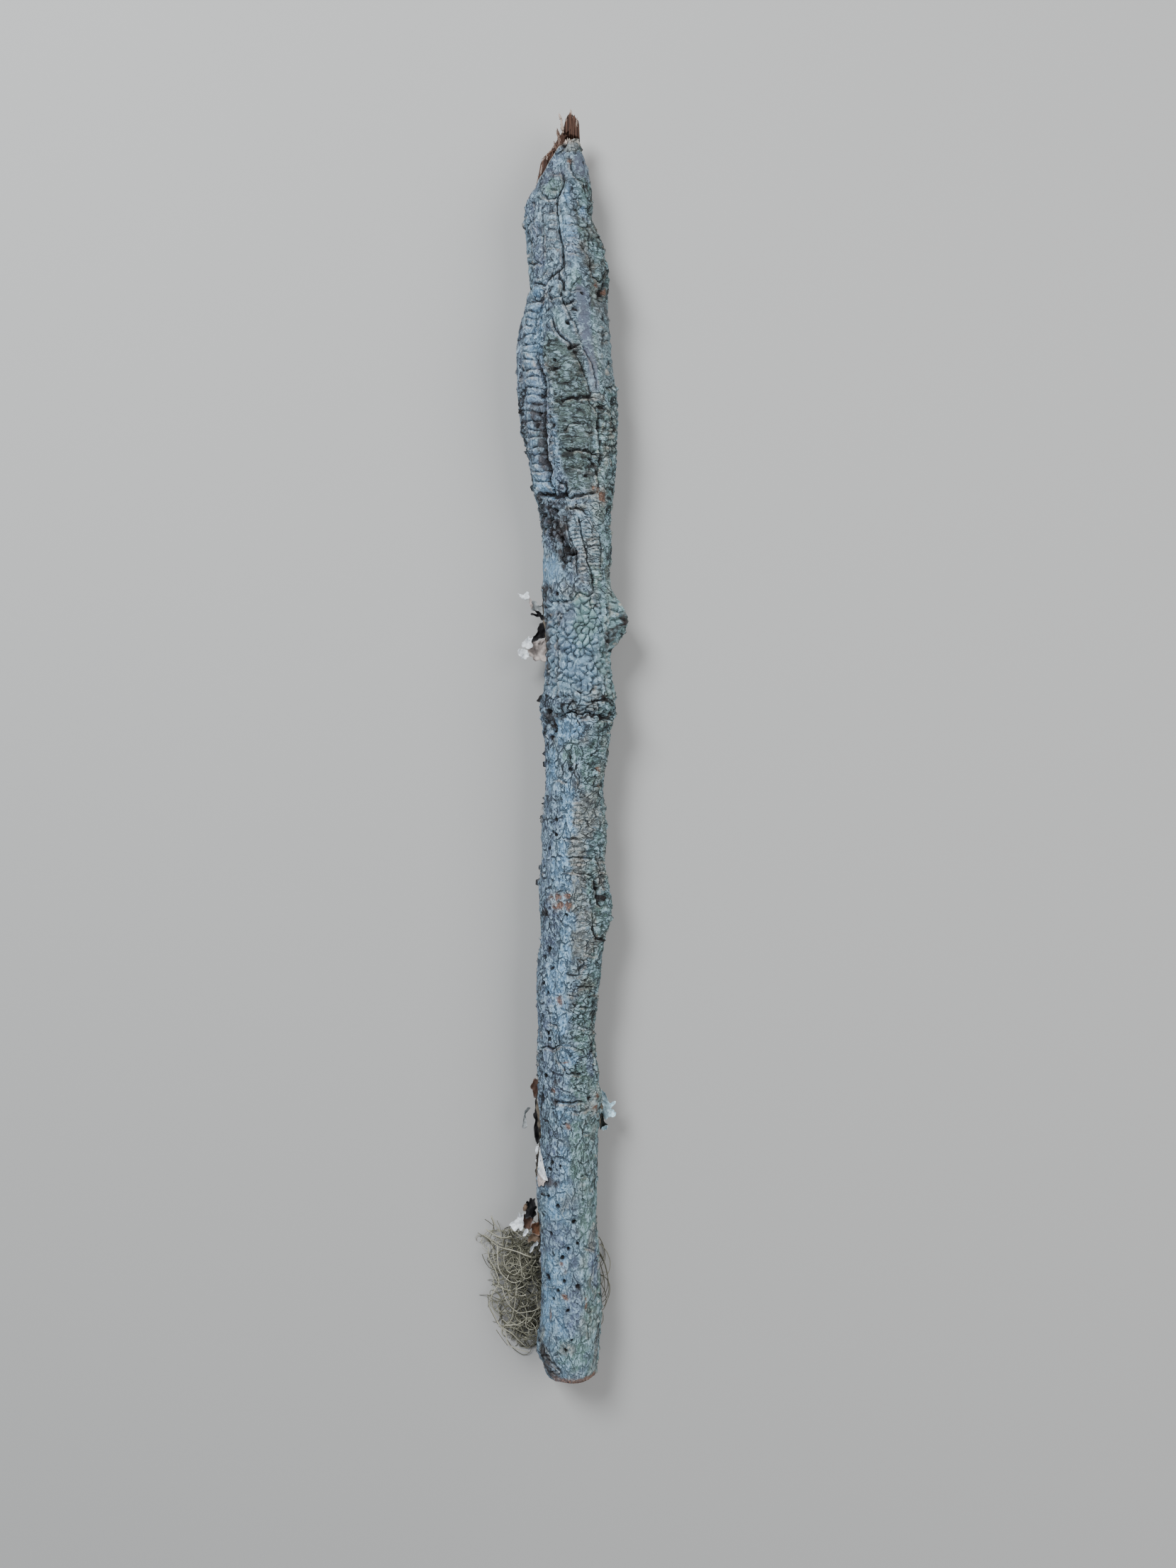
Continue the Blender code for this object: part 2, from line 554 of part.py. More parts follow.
def centre_on_origin(pieces):
    """Puts the origin at the bottom centre of the whole by moving every object the same way."""
    graph = bpy.context.evaluated_depsgraph_get()
    corners = []
    for piece in pieces:
        mesh = piece.evaluated_get(graph).to_mesh()
        points = np.empty(len(mesh.vertices) * 3)
        mesh.vertices.foreach_get("co", points)
        corners.append(points.reshape(-1, 3))
    points = np.vstack(corners)
    low, high = points.min(axis=0), points.max(axis=0)
    shift = Vector((-(low[0] + high[0]) / 2, -(low[1] + high[1]) / 2, -low[2]))
    for thing in bpy.data.objects:
        thing.location = shift


def build():
    clear_scene()
    clearance = twig_mesh("room round the twig", GAP)
    hide(clearance)
    twig = make_twig()
    twig.data.materials.append(material("bark"))
    pieces = [twig]
    leafy, pale = material("leafy"), material("pale leafy")
    for name, shape in LEAFY.items():
        lichen = make_leafy(name, shape["root"], shape["lobes"], clearance)
        lichen.data.materials.append(pale if name.endswith("right") else leafy)
        pieces.append(lichen)
    beard = make_beard(clearance)
    beard.data.materials.append(material("beard"))
    pieces.append(beard)
    bpy.context.view_layer.update()
    centre_on_origin(pieces)


build()
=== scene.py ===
import math

import bmesh
import bpy
import numpy as np
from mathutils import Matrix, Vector
from mathutils.bvhtree import BVHTree


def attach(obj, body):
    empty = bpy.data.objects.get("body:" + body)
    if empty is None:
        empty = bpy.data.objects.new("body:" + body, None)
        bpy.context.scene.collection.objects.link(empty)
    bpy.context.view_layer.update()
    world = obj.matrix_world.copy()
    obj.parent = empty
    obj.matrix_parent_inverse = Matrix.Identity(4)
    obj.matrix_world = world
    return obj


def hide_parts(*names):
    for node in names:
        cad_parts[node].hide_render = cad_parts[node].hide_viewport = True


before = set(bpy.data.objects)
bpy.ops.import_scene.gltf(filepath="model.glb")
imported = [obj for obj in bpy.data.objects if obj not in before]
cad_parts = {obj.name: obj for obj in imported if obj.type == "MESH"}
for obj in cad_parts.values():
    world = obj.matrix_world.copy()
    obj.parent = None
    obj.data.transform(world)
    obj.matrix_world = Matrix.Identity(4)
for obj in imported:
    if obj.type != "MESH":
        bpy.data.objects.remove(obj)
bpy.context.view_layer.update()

# Sizes are in millimetres and angles in degrees. A place on the twig is its distance along from the cut foot,
# and its angle round: 0 on top, 90 towards +X, 180 beneath. A pixel (u, v) is one of the photograph's 1659 x
# 2212. Noise takes a seed as its last number.
MM = 0.001
MIDDLE_X = 7.15
FOOT_Y = -237.0
MIDDLE_HEIGHT = 14.0
ABOVE_ALL = 60
BODY = "root"

# The camera, and how large a pixel is at a distance of 1 and, about, on the twig
PHOTO_WIDTH, PHOTO_HEIGHT = 1659, 2212
CAMERA_PLACE = (13.4, -16.0, 464.5)
LENS, SENSOR = 27.57, 36.0
PIXEL = SENSOR / LENS / PHOTO_HEIGHT
PIXEL_ON_TWIG = 0.27

# The bark's mesh: columns over the twig and beneath it, straight rows, and rows that fan out to its end
TOP_COLUMNS, BENEATH_COLUMNS, TOP_ANGLE = 176, 64, 105
ALONG_STEP = 0.36
SLANT_START, SLANT_ROWS = 424.0, 100
BARK_FACES = 194000
# The way round the twig at its usual thickness, by which plates are sized
ROUND_TWIG = 84.0

# Where the bark ends round the broken tip: (angle, along)
BARK_END = (
    (-180, 444), (-150, 440), (-120, 437), (-90, 434), (-80, 434.5), (-65, 437), (-48, 439.5), (-43.5, 442),
    (-41, 446.5), (-39.5, 451), (-38.5, 455), (-37, 458.6), (-32.6, 460.2), (-8, 460.4), (11.5, 459.2),
    (26, 459.6), (47, 461.2), (79, 462.6), (90.7, 461), (96, 457.7), (120, 452), (150, 448), (180, 444),
)
WOOD_START, WOOD_END = 420.0, 466.0


def metres(*millimetres):
    return Vector(millimetres) * MM


def smooth(low, high, value):
    """0 below low, 1 above high, and smooth between them."""
    t = np.clip((value - low) / (high - low), 0, 1)
    return t * t * (3 - 2 * t)


def signed(angle):
    """The same angle, from -180 to 180."""
    return (angle + 180) % 360 - 180


def hashed(i, j, k, seed):
    """A number from 0 to 1 for each cell of whole numbers."""
    h = (i * 374761393 + j * 668265263 + k * 2246822519 + seed * 3266489917) & 0xFFFFFFFF
    h = ((h ^ (h >> 13)) * 1274126177) & 0xFFFFFFFF
    h = ((h ^ (h >> 15)) * 1103515245) & 0xFFFFFFFF
    return ((h ^ (h >> 16)) & 0xFFFFFF) / 0xFFFFFF


def noise(place, size, seed):
    """Smooth noise from -1 to 1 at each place, whose lumps are of that size along x, y and z."""
    p = place / np.asarray(size, float)
    i = np.floor(p).astype(np.int64)
    f = p - i
    f = f * f * (3 - 2 * f)
    total = 0
    for a in (0, 1):
        for b in (0, 1):
            for c in (0, 1):
                weight = (f[..., 0] if a else 1 - f[..., 0]) * (f[..., 1] if b else 1 - f[..., 1])
                weight = weight * (f[..., 2] if c else 1 - f[..., 2])
                total = total + weight * hashed(i[..., 0] + a, i[..., 1] + b, i[..., 2] + c, seed)
    return 2 * total - 1


def rough(place, size, seed, octaves=3):
    """Noise of several sizes, each half the one before."""
    size = np.asarray(size, float)
    return sum(noise(place, size / 2**n, seed + 7 * n) / 2**n for n in range(octaves)) / 1.6


def blurred(table, rows, columns):
    """A table made smoother by that many cells along and round. It wraps round."""
    def spread(values, width, axis, mode):
        reach = int(3 * width) + 1
        weights = np.exp(-0.5 * (np.arange(-reach, reach + 1) / width) ** 2)
        weights /= weights.sum()
        pad = [(0, 0), (0, 0)]
        pad[axis] = (reach, reach)
        wide = np.pad(values, pad, mode=mode)
        length = values.shape[axis]
        return sum(w * np.take(wide, range(n, n + length), axis=axis) for n, w in enumerate(weights))
    return spread(spread(table, rows, 0, "edge"), columns, 1, "wrap")


# The twig as the frame gives it

twig_tree = BVHTree.FromObject(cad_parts["twig"], bpy.context.evaluated_depsgraph_get())


def cast(start, direction):
    """How far it is in millimetres from a place inside the twig to its surface."""
    hit = twig_tree.ray_cast(start * MM, direction)
    return hit[3] / MM if hit[0] is not None else 0.0


def measure_middle(stations):
    """The middle of the twig's section at each place along, smoothed over some neighbours."""
    middles = []
    x, z = 0.0, 14.5
    for along in stations:
        for _ in range(2):
            point = Vector((x + MIDDLE_X, along + FOOT_Y, z))
            x += (cast(point, Vector((1, 0, 0))) - cast(point, Vector((-1, 0, 0)))) / 2
            point.x = x + MIDDLE_X
            z += (cast(point, Vector((0, 0, 1))) - cast(point, Vector((0, 0, -1)))) / 2
        middles.append((x, z))
    weights = np.ones(9) / 9
    wide = np.pad(np.array(middles), ((4, 4), (0, 0)), mode="edge")
    return np.stack([np.convolve(wide[:, n], weights, "valid") for n in (0, 1)], axis=1)


MIDDLE_ALONG = np.arange(1.0, 465.0, 2.0)
MIDDLES = measure_middle(MIDDLE_ALONG)


def middle_at(along):
    """The middle (x, height) of the twig at each place along, x from the middle line."""
    return np.interp(along, MIDDLE_ALONG, MIDDLES[:, 0]), np.interp(along, MIDDLE_ALONG, MIDDLES[:, 1])


def measure_radius(stations, angles):
    """The distance from the middle to the surface, for each place along and angle."""
    table = np.empty((len(stations), len(angles)))
    xs, zs = middle_at(stations)
    for i, along in enumerate(stations):
        point = Vector((xs[i] + MIDDLE_X, along + FOOT_Y, zs[i]))
        for j, angle in enumerate(angles):
            turn = math.radians(angle)
            table[i, j] = cast(point, Vector((math.sin(turn), 0, math.cos(turn))))
    return table


TABLE_STEP, TABLE_TURN = 1.5, 4.0
TABLE_ALONG = np.arange(0.9, 466.0, TABLE_STEP)
TABLE_ANGLE = np.arange(-180.0, 180.0, TABLE_TURN)
TABLE_RADIUS = measure_radius(TABLE_ALONG, TABLE_ANGLE)


def resampled(table, along, angle):
    """Reads such a table at each place, with straight lines between its values."""
    i = np.clip(np.interp(along, TABLE_ALONG, np.arange(len(TABLE_ALONG))), 0, len(TABLE_ALONG) - 1.001)
    j = (signed(angle) - TABLE_ANGLE[0]) / TABLE_TURN
    i0, j0 = np.floor(i).astype(int), np.floor(j).astype(int)
    fi, fj = i - i0, j - j0
    count = len(TABLE_ANGLE)
    a, b = j0 % count, (j0 + 1) % count
    near = table[i0, a] * (1 - fj) + table[i0, b] * fj
    far = table[i0 + 1, a] * (1 - fj) + table[i0 + 1, b] * fj
    return near * (1 - fi) + far * fi


def bark_end(angle):
    """How far along the bark reaches, by angle round."""
    angles, ends = zip(*BARK_END)
    return np.interp(signed(np.asarray(angle)), angles, ends)


def surface_points(along, angle, radius):
    """Places in mm, in the object's frame, of points given by along, angle and radius."""
    x, z = middle_at(along)
    turn = np.radians(angle)
    place = x + MIDDLE_X + radius * np.sin(turn), along + FOOT_Y, z + radius * np.cos(turn)
    return np.stack(place, axis=-1)


def noise_ring(angles, radius):
    """A circle of places at which noise is read, so that it wraps round."""
    turn = np.radians(angles)
    return np.stack([np.sin(turn) * radius, np.cos(turn) * radius, 0 * angles], axis=-1)


def at_pixel(u, v):
    """The place (along, angle) on the twig that shows at a pixel of the photograph."""
    start = metres(*CAMERA_PLACE)
    towards = Vector(((u - PHOTO_WIDTH / 2) * PIXEL, (PHOTO_HEIGHT / 2 - v) * PIXEL, -1)).normalized()
    hit = twig_tree.ray_cast(start, towards)[0]
    if hit is None:
        nearest = start + towards * (start.z - MIDDLE_HEIGHT * MM) / -towards.z
        hit = twig_tree.find_nearest(nearest)[0]
    along = hit.y / MM - FOOT_Y
    x, z = middle_at(along)
    return along, math.degrees(math.atan2(hit.x / MM - MIDDLE_X - x, hit.z / MM - z))


def pixel_place(u, v, height):
    """The place (x, y) in mm, in the object's frame, that shows at a pixel if it is that high."""
    drop = CAMERA_PLACE[2] - height
    x = CAMERA_PLACE[0] + (u - PHOTO_WIDTH / 2) * PIXEL * drop
    y = CAMERA_PLACE[1] + (PHOTO_HEIGHT / 2 - v) * PIXEL * drop
    return x, y


# The grid of the bark: along by rows, round by columns

def column_angles():
    top = np.linspace(-TOP_ANGLE, TOP_ANGLE, TOP_COLUMNS, endpoint=False)
    beneath = np.linspace(TOP_ANGLE, 360 - TOP_ANGLE, BENEATH_COLUMNS, endpoint=False)
    return np.concatenate([top, beneath])


def bark_grid():
    """Places along and angles of the bark's grid, whose last rows fan out to its ragged end."""
    angles = column_angles()
    straight = np.arange(0, SLANT_START, ALONG_STEP)
    ring = noise_ring(angles, 8)
    ragged = 1.1 * noise(ring, 1.6, 31) + 0.7 * noise(ring, 0.7, 32)
    ends = bark_end(angles) + ragged * (0.4 + 0.6 * (np.abs(angles) > 80))
    t = np.linspace(0, 1, SLANT_ROWS)[:, None]
    fan = SLANT_START + t * (ends - SLANT_START)
    along = np.vstack([np.repeat(straight[:, None], len(angles), axis=1), fan])
    return along, np.repeat(angles[None, :], len(along), axis=0)


ALONG, ANGLE = bark_grid()


def base_radius():
    """The twig's size under the fine relief: the frame's own surface with its flat faces smoothed away. Past
    the bark's end it goes on at the slope it has just before it."""
    margin, slope_rows = 2.0, 8
    table = TABLE_RADIUS.copy()
    for j, angle in enumerate(TABLE_ANGLE):
        last = int((bark_end(angle) - margin - TABLE_ALONG[0]) / TABLE_STEP)
        slope = (table[last, j] - table[last - slope_rows, j]) / slope_rows
        past = np.arange(1, len(table) - last)
        table[last + 1:, j] = table[last, j] + slope * past
    return resampled(blurred(table, 1.1, 0.9), ALONG, ANGLE)


BASE = base_radius()
SPOT = surface_points(ALONG, ANGLE, BASE)

# Places shifted a little, so that no crack is a straight line
WAVE_ALONG = ALONG + 0.7 * noise(SPOT, 3.4, 1) + 0.3 * noise(SPOT, 1.3, 2)
WAVE_ANGLE = ANGLE + np.degrees((0.7 * noise(SPOT, 3.4, 3) + 0.3 * noise(SPOT, 1.3, 4)) / BASE)
SIGNED = signed(WAVE_ANGLE)


def zone(low, high, left, right, soft=2.5, soft_angle=8):
    """1 inside a patch of bark and 0 outside it."""
    along = smooth(low - soft, low + soft, WAVE_ALONG) * (1 - smooth(high - soft, high + soft, WAVE_ALONG))
    round_it = smooth(left - soft_angle, left + soft_angle, SIGNED)
    return along * round_it * (1 - smooth(right - soft_angle, right + soft_angle, SIGNED))


FAR_AWAY = 1e9
LINE_REACH = 9


def cells(where, length, count, seed, jitter=0.75, square=3.0):
    """Plates of bark inside a patch: how far each place is in mm from the nearest crack between them, its
    plate's number, and how far up the plate the place is, from -0.5 to 0.5."""
    here = where > 0.01
    width = ROUND_TWIG / count
    p, q = WAVE_ALONG[here] / length, (SIGNED[here] / 360) % 1 * count
    row0 = np.floor(p).astype(np.int64)
    first = np.full(p.shape, FAR_AWAY)
    second = np.full(p.shape, FAR_AWAY)
    number = np.zeros(p.shape)
    rise = np.zeros(p.shape)
    for i in (-1, 0, 1):
        row = row0 + i
        shift = 0.5 * (row & 1)
        column0 = np.floor(q - shift).astype(np.int64)
        for j in (-1, 0, 1):
            column = (column0 + j) % count
            down = (row + 0.5 + jitter * (hashed(row, column, 0, seed) - 0.5) - p) * length
            over = (column0 + j + 0.5 + shift + jitter * (hashed(row, column, 1, seed) - 0.5) - q) * width
            gap = (np.abs(down) ** square + np.abs(over) ** square) ** (1 / square)
            closer = gap < first
            second = np.where(closer, first, np.minimum(second, gap))
            number = np.where(closer, hashed(row, column, 2, seed), number)
            rise = np.where(closer, -down / length, rise)
            first = np.where(closer, gap, first)
    shown = [np.full(where.shape, 9.0), np.full(where.shape, 0.5), np.zeros(where.shape)]
    for table, values in zip(shown, ((second - first) / 2, number, rise)):
        table[here] = values
    return shown


def traced(points):
    return [at_pixel(u, v) for u, v in points]


def line_distance(line):
    """For each place of the grid, how far it is in mm from a line of (along, angle) points, how far along the
    line, how far it lies below it towards the foot, and the line's length."""
    line = np.array(line)
    nearest = np.full(ALONG.shape, 99.0)
    travelled = np.zeros(ALONG.shape)
    below = np.zeros(ALONG.shape)
    near_line = (ALONG > line[:, 0].min() - LINE_REACH) & (ALONG < line[:, 0].max() + LINE_REACH)
    rows = near_line.any(axis=1)
    along, angle, radius = WAVE_ALONG[rows], WAVE_ANGLE[rows], BASE[rows]
    gap_here, walk_here, below_here = nearest[rows], travelled[rows], below[rows]
    walked = 0.0
    for (s0, a0), (s1, a1) in zip(line[:-1], line[1:]):
        x, y = along - s0, np.radians(signed(angle - a0)) * radius
        dx, dy = s1 - s0, np.radians(a1 - a0) * radius
        square = np.maximum(dx * dx + dy * dy, 1e-6)
        t = np.clip((x * dx + y * dy) / square, 0, 1)
        gap = np.hypot(x - t * dx, y - t * dy)
        length = float(np.sqrt(square).mean())
        closer = gap < gap_here
        walk_here = np.where(closer, walked + t * length, walk_here)
        below_here = np.where(closer, t * dx - x, below_here)
        gap_here = np.minimum(gap, gap_here)
        walked += length
    nearest[rows], travelled[rows], below[rows] = gap_here, walk_here, below_here
    return nearest, travelled, below, walked


def inside(points, soft):
    """1 inside a closed line traced in pixels, 0 outside it, and soft by that many mm at its edge."""
    line = traced(points)
    line.append(line[0])
    gap = line_distance(line)[0]
    within = np.zeros(ALONG.shape, bool)
    for (s0, a0), (s1, a1) in zip(line[:-1], line[1:]):
        crosses = (WAVE_ALONG >= min(s0, s1)) & (WAVE_ALONG < max(s0, s1))
        if s0 != s1:
            within ^= crosses & (SIGNED < a0 + (WAVE_ALONG - s0) / (s1 - s0) * (a1 - a0))
    return smooth(-soft, soft, np.where(within, gap, -gap))


def oval(u, v, width, length):
    """A smooth oval round a pixel of the photograph, 1 in its middle and 0 from its edge on."""
    along, angle = at_pixel(u, v)
    shown = np.zeros(ALONG.shape)
    rows = ((ALONG > along - length - 3) & (ALONG < along + length + 3)).any(axis=1)
    turn = np.radians(signed(WAVE_ANGLE[rows] - angle)) * BASE[rows]
    shown[rows] = np.clip(1 - ((WAVE_ALONG[rows] - along) / length) ** 2 - (turn / width) ** 2, 0, 1)
    return shown


# What shows on the bark, traced in pixels of the photograph. Cracks: half width and depth in mm, then places.
FISSURES = (
    (0.45, 1.0, ((758, 1890), (763, 1903), (765, 1918), (770, 1932), (778, 1945))),
    (0.40, 0.8, ((764, 1908), (772, 1918), (780, 1922), (790, 1931))),
    (0.30, 0.6, ((770, 1900), (777, 1911), (783, 1924), (792, 1938))),
    (0.24, 0.5, ((836, 1784), (834, 1806), (838, 1826), (836, 1842))),
    (0.24, 0.5, ((830, 1842), (833, 1858), (829, 1874), (832, 1890))),
    (0.42, 1.4, ((787, 568), (800, 564), (820, 561), (840, 559))),
    (0.40, 1.3, ((792, 631), (808, 634), (828, 636), (846, 641))),
    # between the plates at the tip
    (0.42, 0.9, ((803, 219), (804, 235), (809, 245), (816, 252), (825, 257), (831, 264))),
    (0.75, 1.2, ((825, 258), (826, 266), (826, 273))),
    (0.45, 1.2, ((792, 240), (795, 251), (795, 263), (792, 269), (786, 276), (785, 288), (787, 301),
                 (789, 319))),
    (0.5, 1.4, ((789, 319), (792, 336), (793, 354), (795, 376), (789, 384), (787, 392), (794, 399),
                (796, 409))),
    (0.42, 0.9, ((762, 268), (765, 273), (771, 277), (780, 277), (786, 276))),
    (0.3, 0.5, ((772, 244), (781, 243), (790, 243))),
    (0.3, 0.6, ((774, 266), (781, 267), (789, 266))),
    (0.35, 0.8, ((745, 374), (751, 374), (759, 371), (766, 369))),
    (0.26, 0.5, ((764, 297), (766, 318), (767, 340), (765, 368))),
    (0.5, 1.3, ((753, 401), (760, 400), (768, 402), (772, 394), (779, 388), (788, 383))),
    (0.34, 0.7, ((814, 279), (818, 287), (823, 296))),
    (0.4, 0.9, ((814, 311), (817, 316), (823, 319), (833, 319))),
    (0.45, 1.0, ((836, 369), (836, 380), (838, 391), (848, 398), (854, 390), (855, 376))),
    (0.36, 0.8, ((823, 350), (827, 358), (835, 368))),
    (0.3, 0.6, ((826, 300), (830, 330), (831, 352))),
    (0.3, 0.6, ((796, 409), (803, 408), (812, 410), (822, 409))),
    (0.28, 0.5, ((751, 280), (756, 292), (752, 312), (757, 330), (754, 350))),
    (0.3, 0.6, ((771, 378), (770, 385), (764, 391), (757, 392))),
    # round the lumps at the top of the swelling
    (0.4, 0.9, ((775, 402), (773, 412), (779, 421), (788, 420), (793, 412))),
    (0.4, 0.9, ((793, 412), (792, 421), (797, 430), (806, 429), (812, 422))),
    (0.36, 0.8, ((748, 421), (757, 424), (765, 421), (767, 408))),
    (0.3, 0.6, ((793, 426), (803, 440), (811, 455), (818, 473), (822, 480))),
    (0.45, 1.2, ((779, 446), (782, 459), (789, 469), (799, 479), (805, 489), (817, 485))),
    # the long fissure on the left of the panel, and the one on its right
    (0.3, 0.6, ((769, 404), (763, 422), (759, 440), (756, 459), (753, 479), (757, 486))),
    (0.7, 2.0, ((757, 497), (755, 503), (761, 515), (765, 529), (766, 538), (768, 550), (768, 568),
                (769, 588))),
    (0.75, 2.2, ((769, 588), (768, 608), (769, 623), (769, 637), (772, 655), (774, 665), (774, 677),
                 (779, 695))),
    (0.36, 1.0, ((817, 503), (822, 519), (828, 534), (834, 550), (837, 556))),
    (0.34, 0.8, ((821, 488), (830, 503), (837, 519), (841, 535), (842, 549))),
    (0.5, 1.3, ((832, 564), (838, 572), (845, 584), (846, 598), (844, 610), (847, 625), (850, 643),
                (847, 656))),
    (0.4, 1.0, ((838, 556), (832, 564))),
    (0.5, 1.3, ((790, 564), (799, 563), (811, 560), (822, 558), (832, 558), (838, 556))),
    (0.4, 1.0, ((791, 606), (799, 606), (803, 600), (811, 598), (819, 598), (824, 601))),
    (0.36, 0.8, ((826, 610), (833, 610), (840, 608))),
    (0.45, 1.1, ((794, 632), (802, 633), (811, 633), (822, 634), (834, 638), (841, 635))),
    (0.34, 0.8, ((803, 659), (809, 660), (815, 660), (822, 663))),
    (0.45, 1.0, ((863, 560), (865, 578), (864, 598), (867, 604), (866, 626))),
    (0.3, 0.7, ((848, 606), (857, 606), (866, 603), (873, 603))),
    (0.3, 0.7, ((848, 627), (858, 630), (871, 631))),
    (0.4, 0.9, ((850, 545), (856, 549), (864, 546), (870, 540))),
    (0.3, 0.6, ((843, 468), (851, 469), (857, 468))),
    (0.3, 0.6, ((844, 481), (852, 481), (860, 481))),
    (0.34, 0.7, ((742, 517), (742, 530), (740, 550), (743, 574), (741, 600), (745, 622), (749, 650),
                 (752, 678))),
    (0.3, 0.7, ((846, 655), (842, 668), (846, 682), (844, 697))),
    # the gap that ends the swelling
    (1.0, 2.2, ((760, 697), (768, 699), (779, 696), (785, 701), (792, 701), (799, 698))),
    (0.75, 1.6, ((799, 698), (802, 690), (798, 683), (789, 680))),
    (0.6, 1.4, ((799, 698), (806, 700), (811, 697), (822, 697), (832, 697), (841, 697))),
    (0.7, 1.5, ((803, 717), (810, 714), (817, 715), (823, 719), (829, 726))),
    # the slanting strips
    (0.4, 1.1, ((817, 728), (820, 750), (825, 771), (829, 790), (833, 801), (835, 815), (838, 836))),
    (0.3, 0.7, ((829, 725), (838, 739), (845, 757), (848, 780), (847, 800))),
    (0.34, 0.8, ((799, 734), (802, 748), (806, 762), (811, 778), (813, 796), (815, 812))),
    (0.5, 1.2, ((785, 750), (794, 767), (792, 787), (798, 794))),
    (0.36, 0.9, ((776, 847), (784, 848), (792, 850), (799, 849), (806, 847), (815, 839), (826, 839),
                 (836, 837))),
    (0.26, 0.5, ((815, 820), (825, 819), (834, 818))),
    (0.3, 0.6, ((803, 836), (804, 843), (806, 847))),
    (0.3, 0.7, ((831, 840), (831, 852), (840, 853), (848, 851))),
    (0.26, 0.5, ((790, 862), (789, 873), (792, 880))),
    (0.3, 0.6, ((863, 788), (858, 800), (860, 818))),
    # the columns of small plates
    (0.3, 0.8, ((785, 860), (784, 890), (788, 920), (785, 950), (783, 985))),
    (0.34, 0.9, ((858, 850), (857, 880), (859, 910), (856, 950), (853, 985))),
    # the collar
    (0.36, 0.9, ((810, 973), (817, 976), (824, 979), (830, 977), (836, 973), (840, 964))),
    (0.4, 1.0, ((822, 987), (832, 989), (841, 988), (850, 987), (856, 981))),
    (0.4, 1.0, ((798, 1001), (800, 993), (806, 989), (814, 989))),
    (0.55, 1.5, ((785, 1013), (792, 1010), (797, 1005), (803, 1003), (815, 1005), (829, 1007), (840, 1008))),
    (0.75, 1.8, ((840, 1008), (849, 1011), (856, 1013), (862, 1015), (866, 1012))),
    (0.34, 0.8, ((812, 1020), (815, 1013), (822, 1011), (832, 1010), (842, 1012))),
    (0.4, 1.0, ((845, 988), (846, 995), (847, 1003))),
    (0.34, 0.8, ((855, 970), (859, 983), (864, 990))),
    (0.3, 0.6, ((806, 1000), (818, 1001), (830, 999), (842, 998))),
    # the shaft
    (0.3, 0.6, ((778, 1100), (785, 1099), (792, 1101), (801, 1105))),
    (0.28, 0.5, ((792, 1079), (793, 1088), (795, 1097))),
    (0.3, 0.6, ((815, 1070), (813, 1086), (817, 1109), (813, 1116))),
    (0.42, 0.9, ((842, 1094), (838, 1109), (847, 1107))),
    (0.36, 0.6, ((788, 1144), (794, 1146))),
    (0.34, 0.8, ((793, 1183), (803, 1185), (810, 1184), (817, 1184))),
    (0.4, 0.9, ((799, 1210), (808, 1210), (815, 1212), (824, 1211), (838, 1210))),
    (0.36, 0.9, ((795, 1230), (803, 1230), (808, 1230), (816, 1232), (824, 1234), (838, 1236))),
    (0.6, 1.5, ((839, 1237), (840, 1254), (844, 1261), (846, 1276), (850, 1279))),
    (0.36, 0.8, ((842, 1210), (846, 1222), (846, 1236), (847, 1250))),
    (0.4, 0.8, ((824, 1284), (830, 1284))),
    (0.5, 1.2, ((836, 1283), (838, 1295), (836, 1311), (842, 1324), (850, 1325))),
    (0.3, 0.7, ((829, 1329), (828, 1346), (840, 1347), (840, 1330), (830, 1328))),
    (0.36, 0.8, ((800, 1375), (808, 1376), (815, 1376), (822, 1360), (820, 1350))),
    (0.4, 0.9, ((814, 1391), (826, 1390), (838, 1391))),
    (0.36, 0.8, ((835, 1391), (833, 1407))),
    (0.26, 0.5, ((800, 1405), (807, 1404), (815, 1406))),
    (0.34, 0.7, ((816, 1421), (822, 1421), (828, 1422))),
    (0.26, 0.5, ((791, 1425), (798, 1424), (805, 1426))),
    (0.3, 0.6, ((771, 1445), (779, 1446), (788, 1447))),
    (0.34, 0.8, ((814, 1447), (820, 1451), (831, 1451))),
    (0.4, 1.0, ((762, 1477), (765, 1477), (772, 1477), (780, 1480), (790, 1476), (789, 1466), (788, 1457))),
    (0.26, 0.6, ((790, 1476), (802, 1476), (814, 1478), (825, 1486))),
    (0.3, 0.7, ((785, 1480), (786, 1496), (794, 1507), (798, 1514))),
    (0.45, 1.1, ((797, 1514), (806, 1514), (812, 1515), (818, 1514))),
    (0.45, 1.2, ((781, 1556), (790, 1555), (802, 1555), (814, 1556), (826, 1555))),
    (0.3, 0.7, ((806, 1564), (814, 1571), (822, 1569), (831, 1562))),
    (0.36, 0.8, ((837, 1470), (838, 1488), (838, 1502), (841, 1515))),
    (0.3, 0.6, ((820, 1599), (826, 1598), (834, 1598))),
    (0.32, 0.7, ((818, 1660), (826, 1659), (833, 1659))),
    (0.3, 0.6, ((833, 1648), (837, 1655), (836, 1670))),
    (0.28, 0.5, ((768, 1811), (773, 1814), (784, 1814))),
    (0.3, 0.6, ((833, 1842), (834, 1854), (836, 1867))),
    (0.3, 0.5, ((822, 1758), (831, 1763), (840, 1764))),
    (0.45, 0.9, ((762, 1895), (767, 1903), (769, 1912), (776, 1914))),
    (0.4, 0.8, ((764, 1885), (762, 1900), (767, 1920))),
    (0.34, 0.7, ((782, 1911), (788, 1909), (793, 1913))),
    (0.3, 0.6, ((770, 1931), (778, 1936), (786, 1932), (784, 1925))),
)
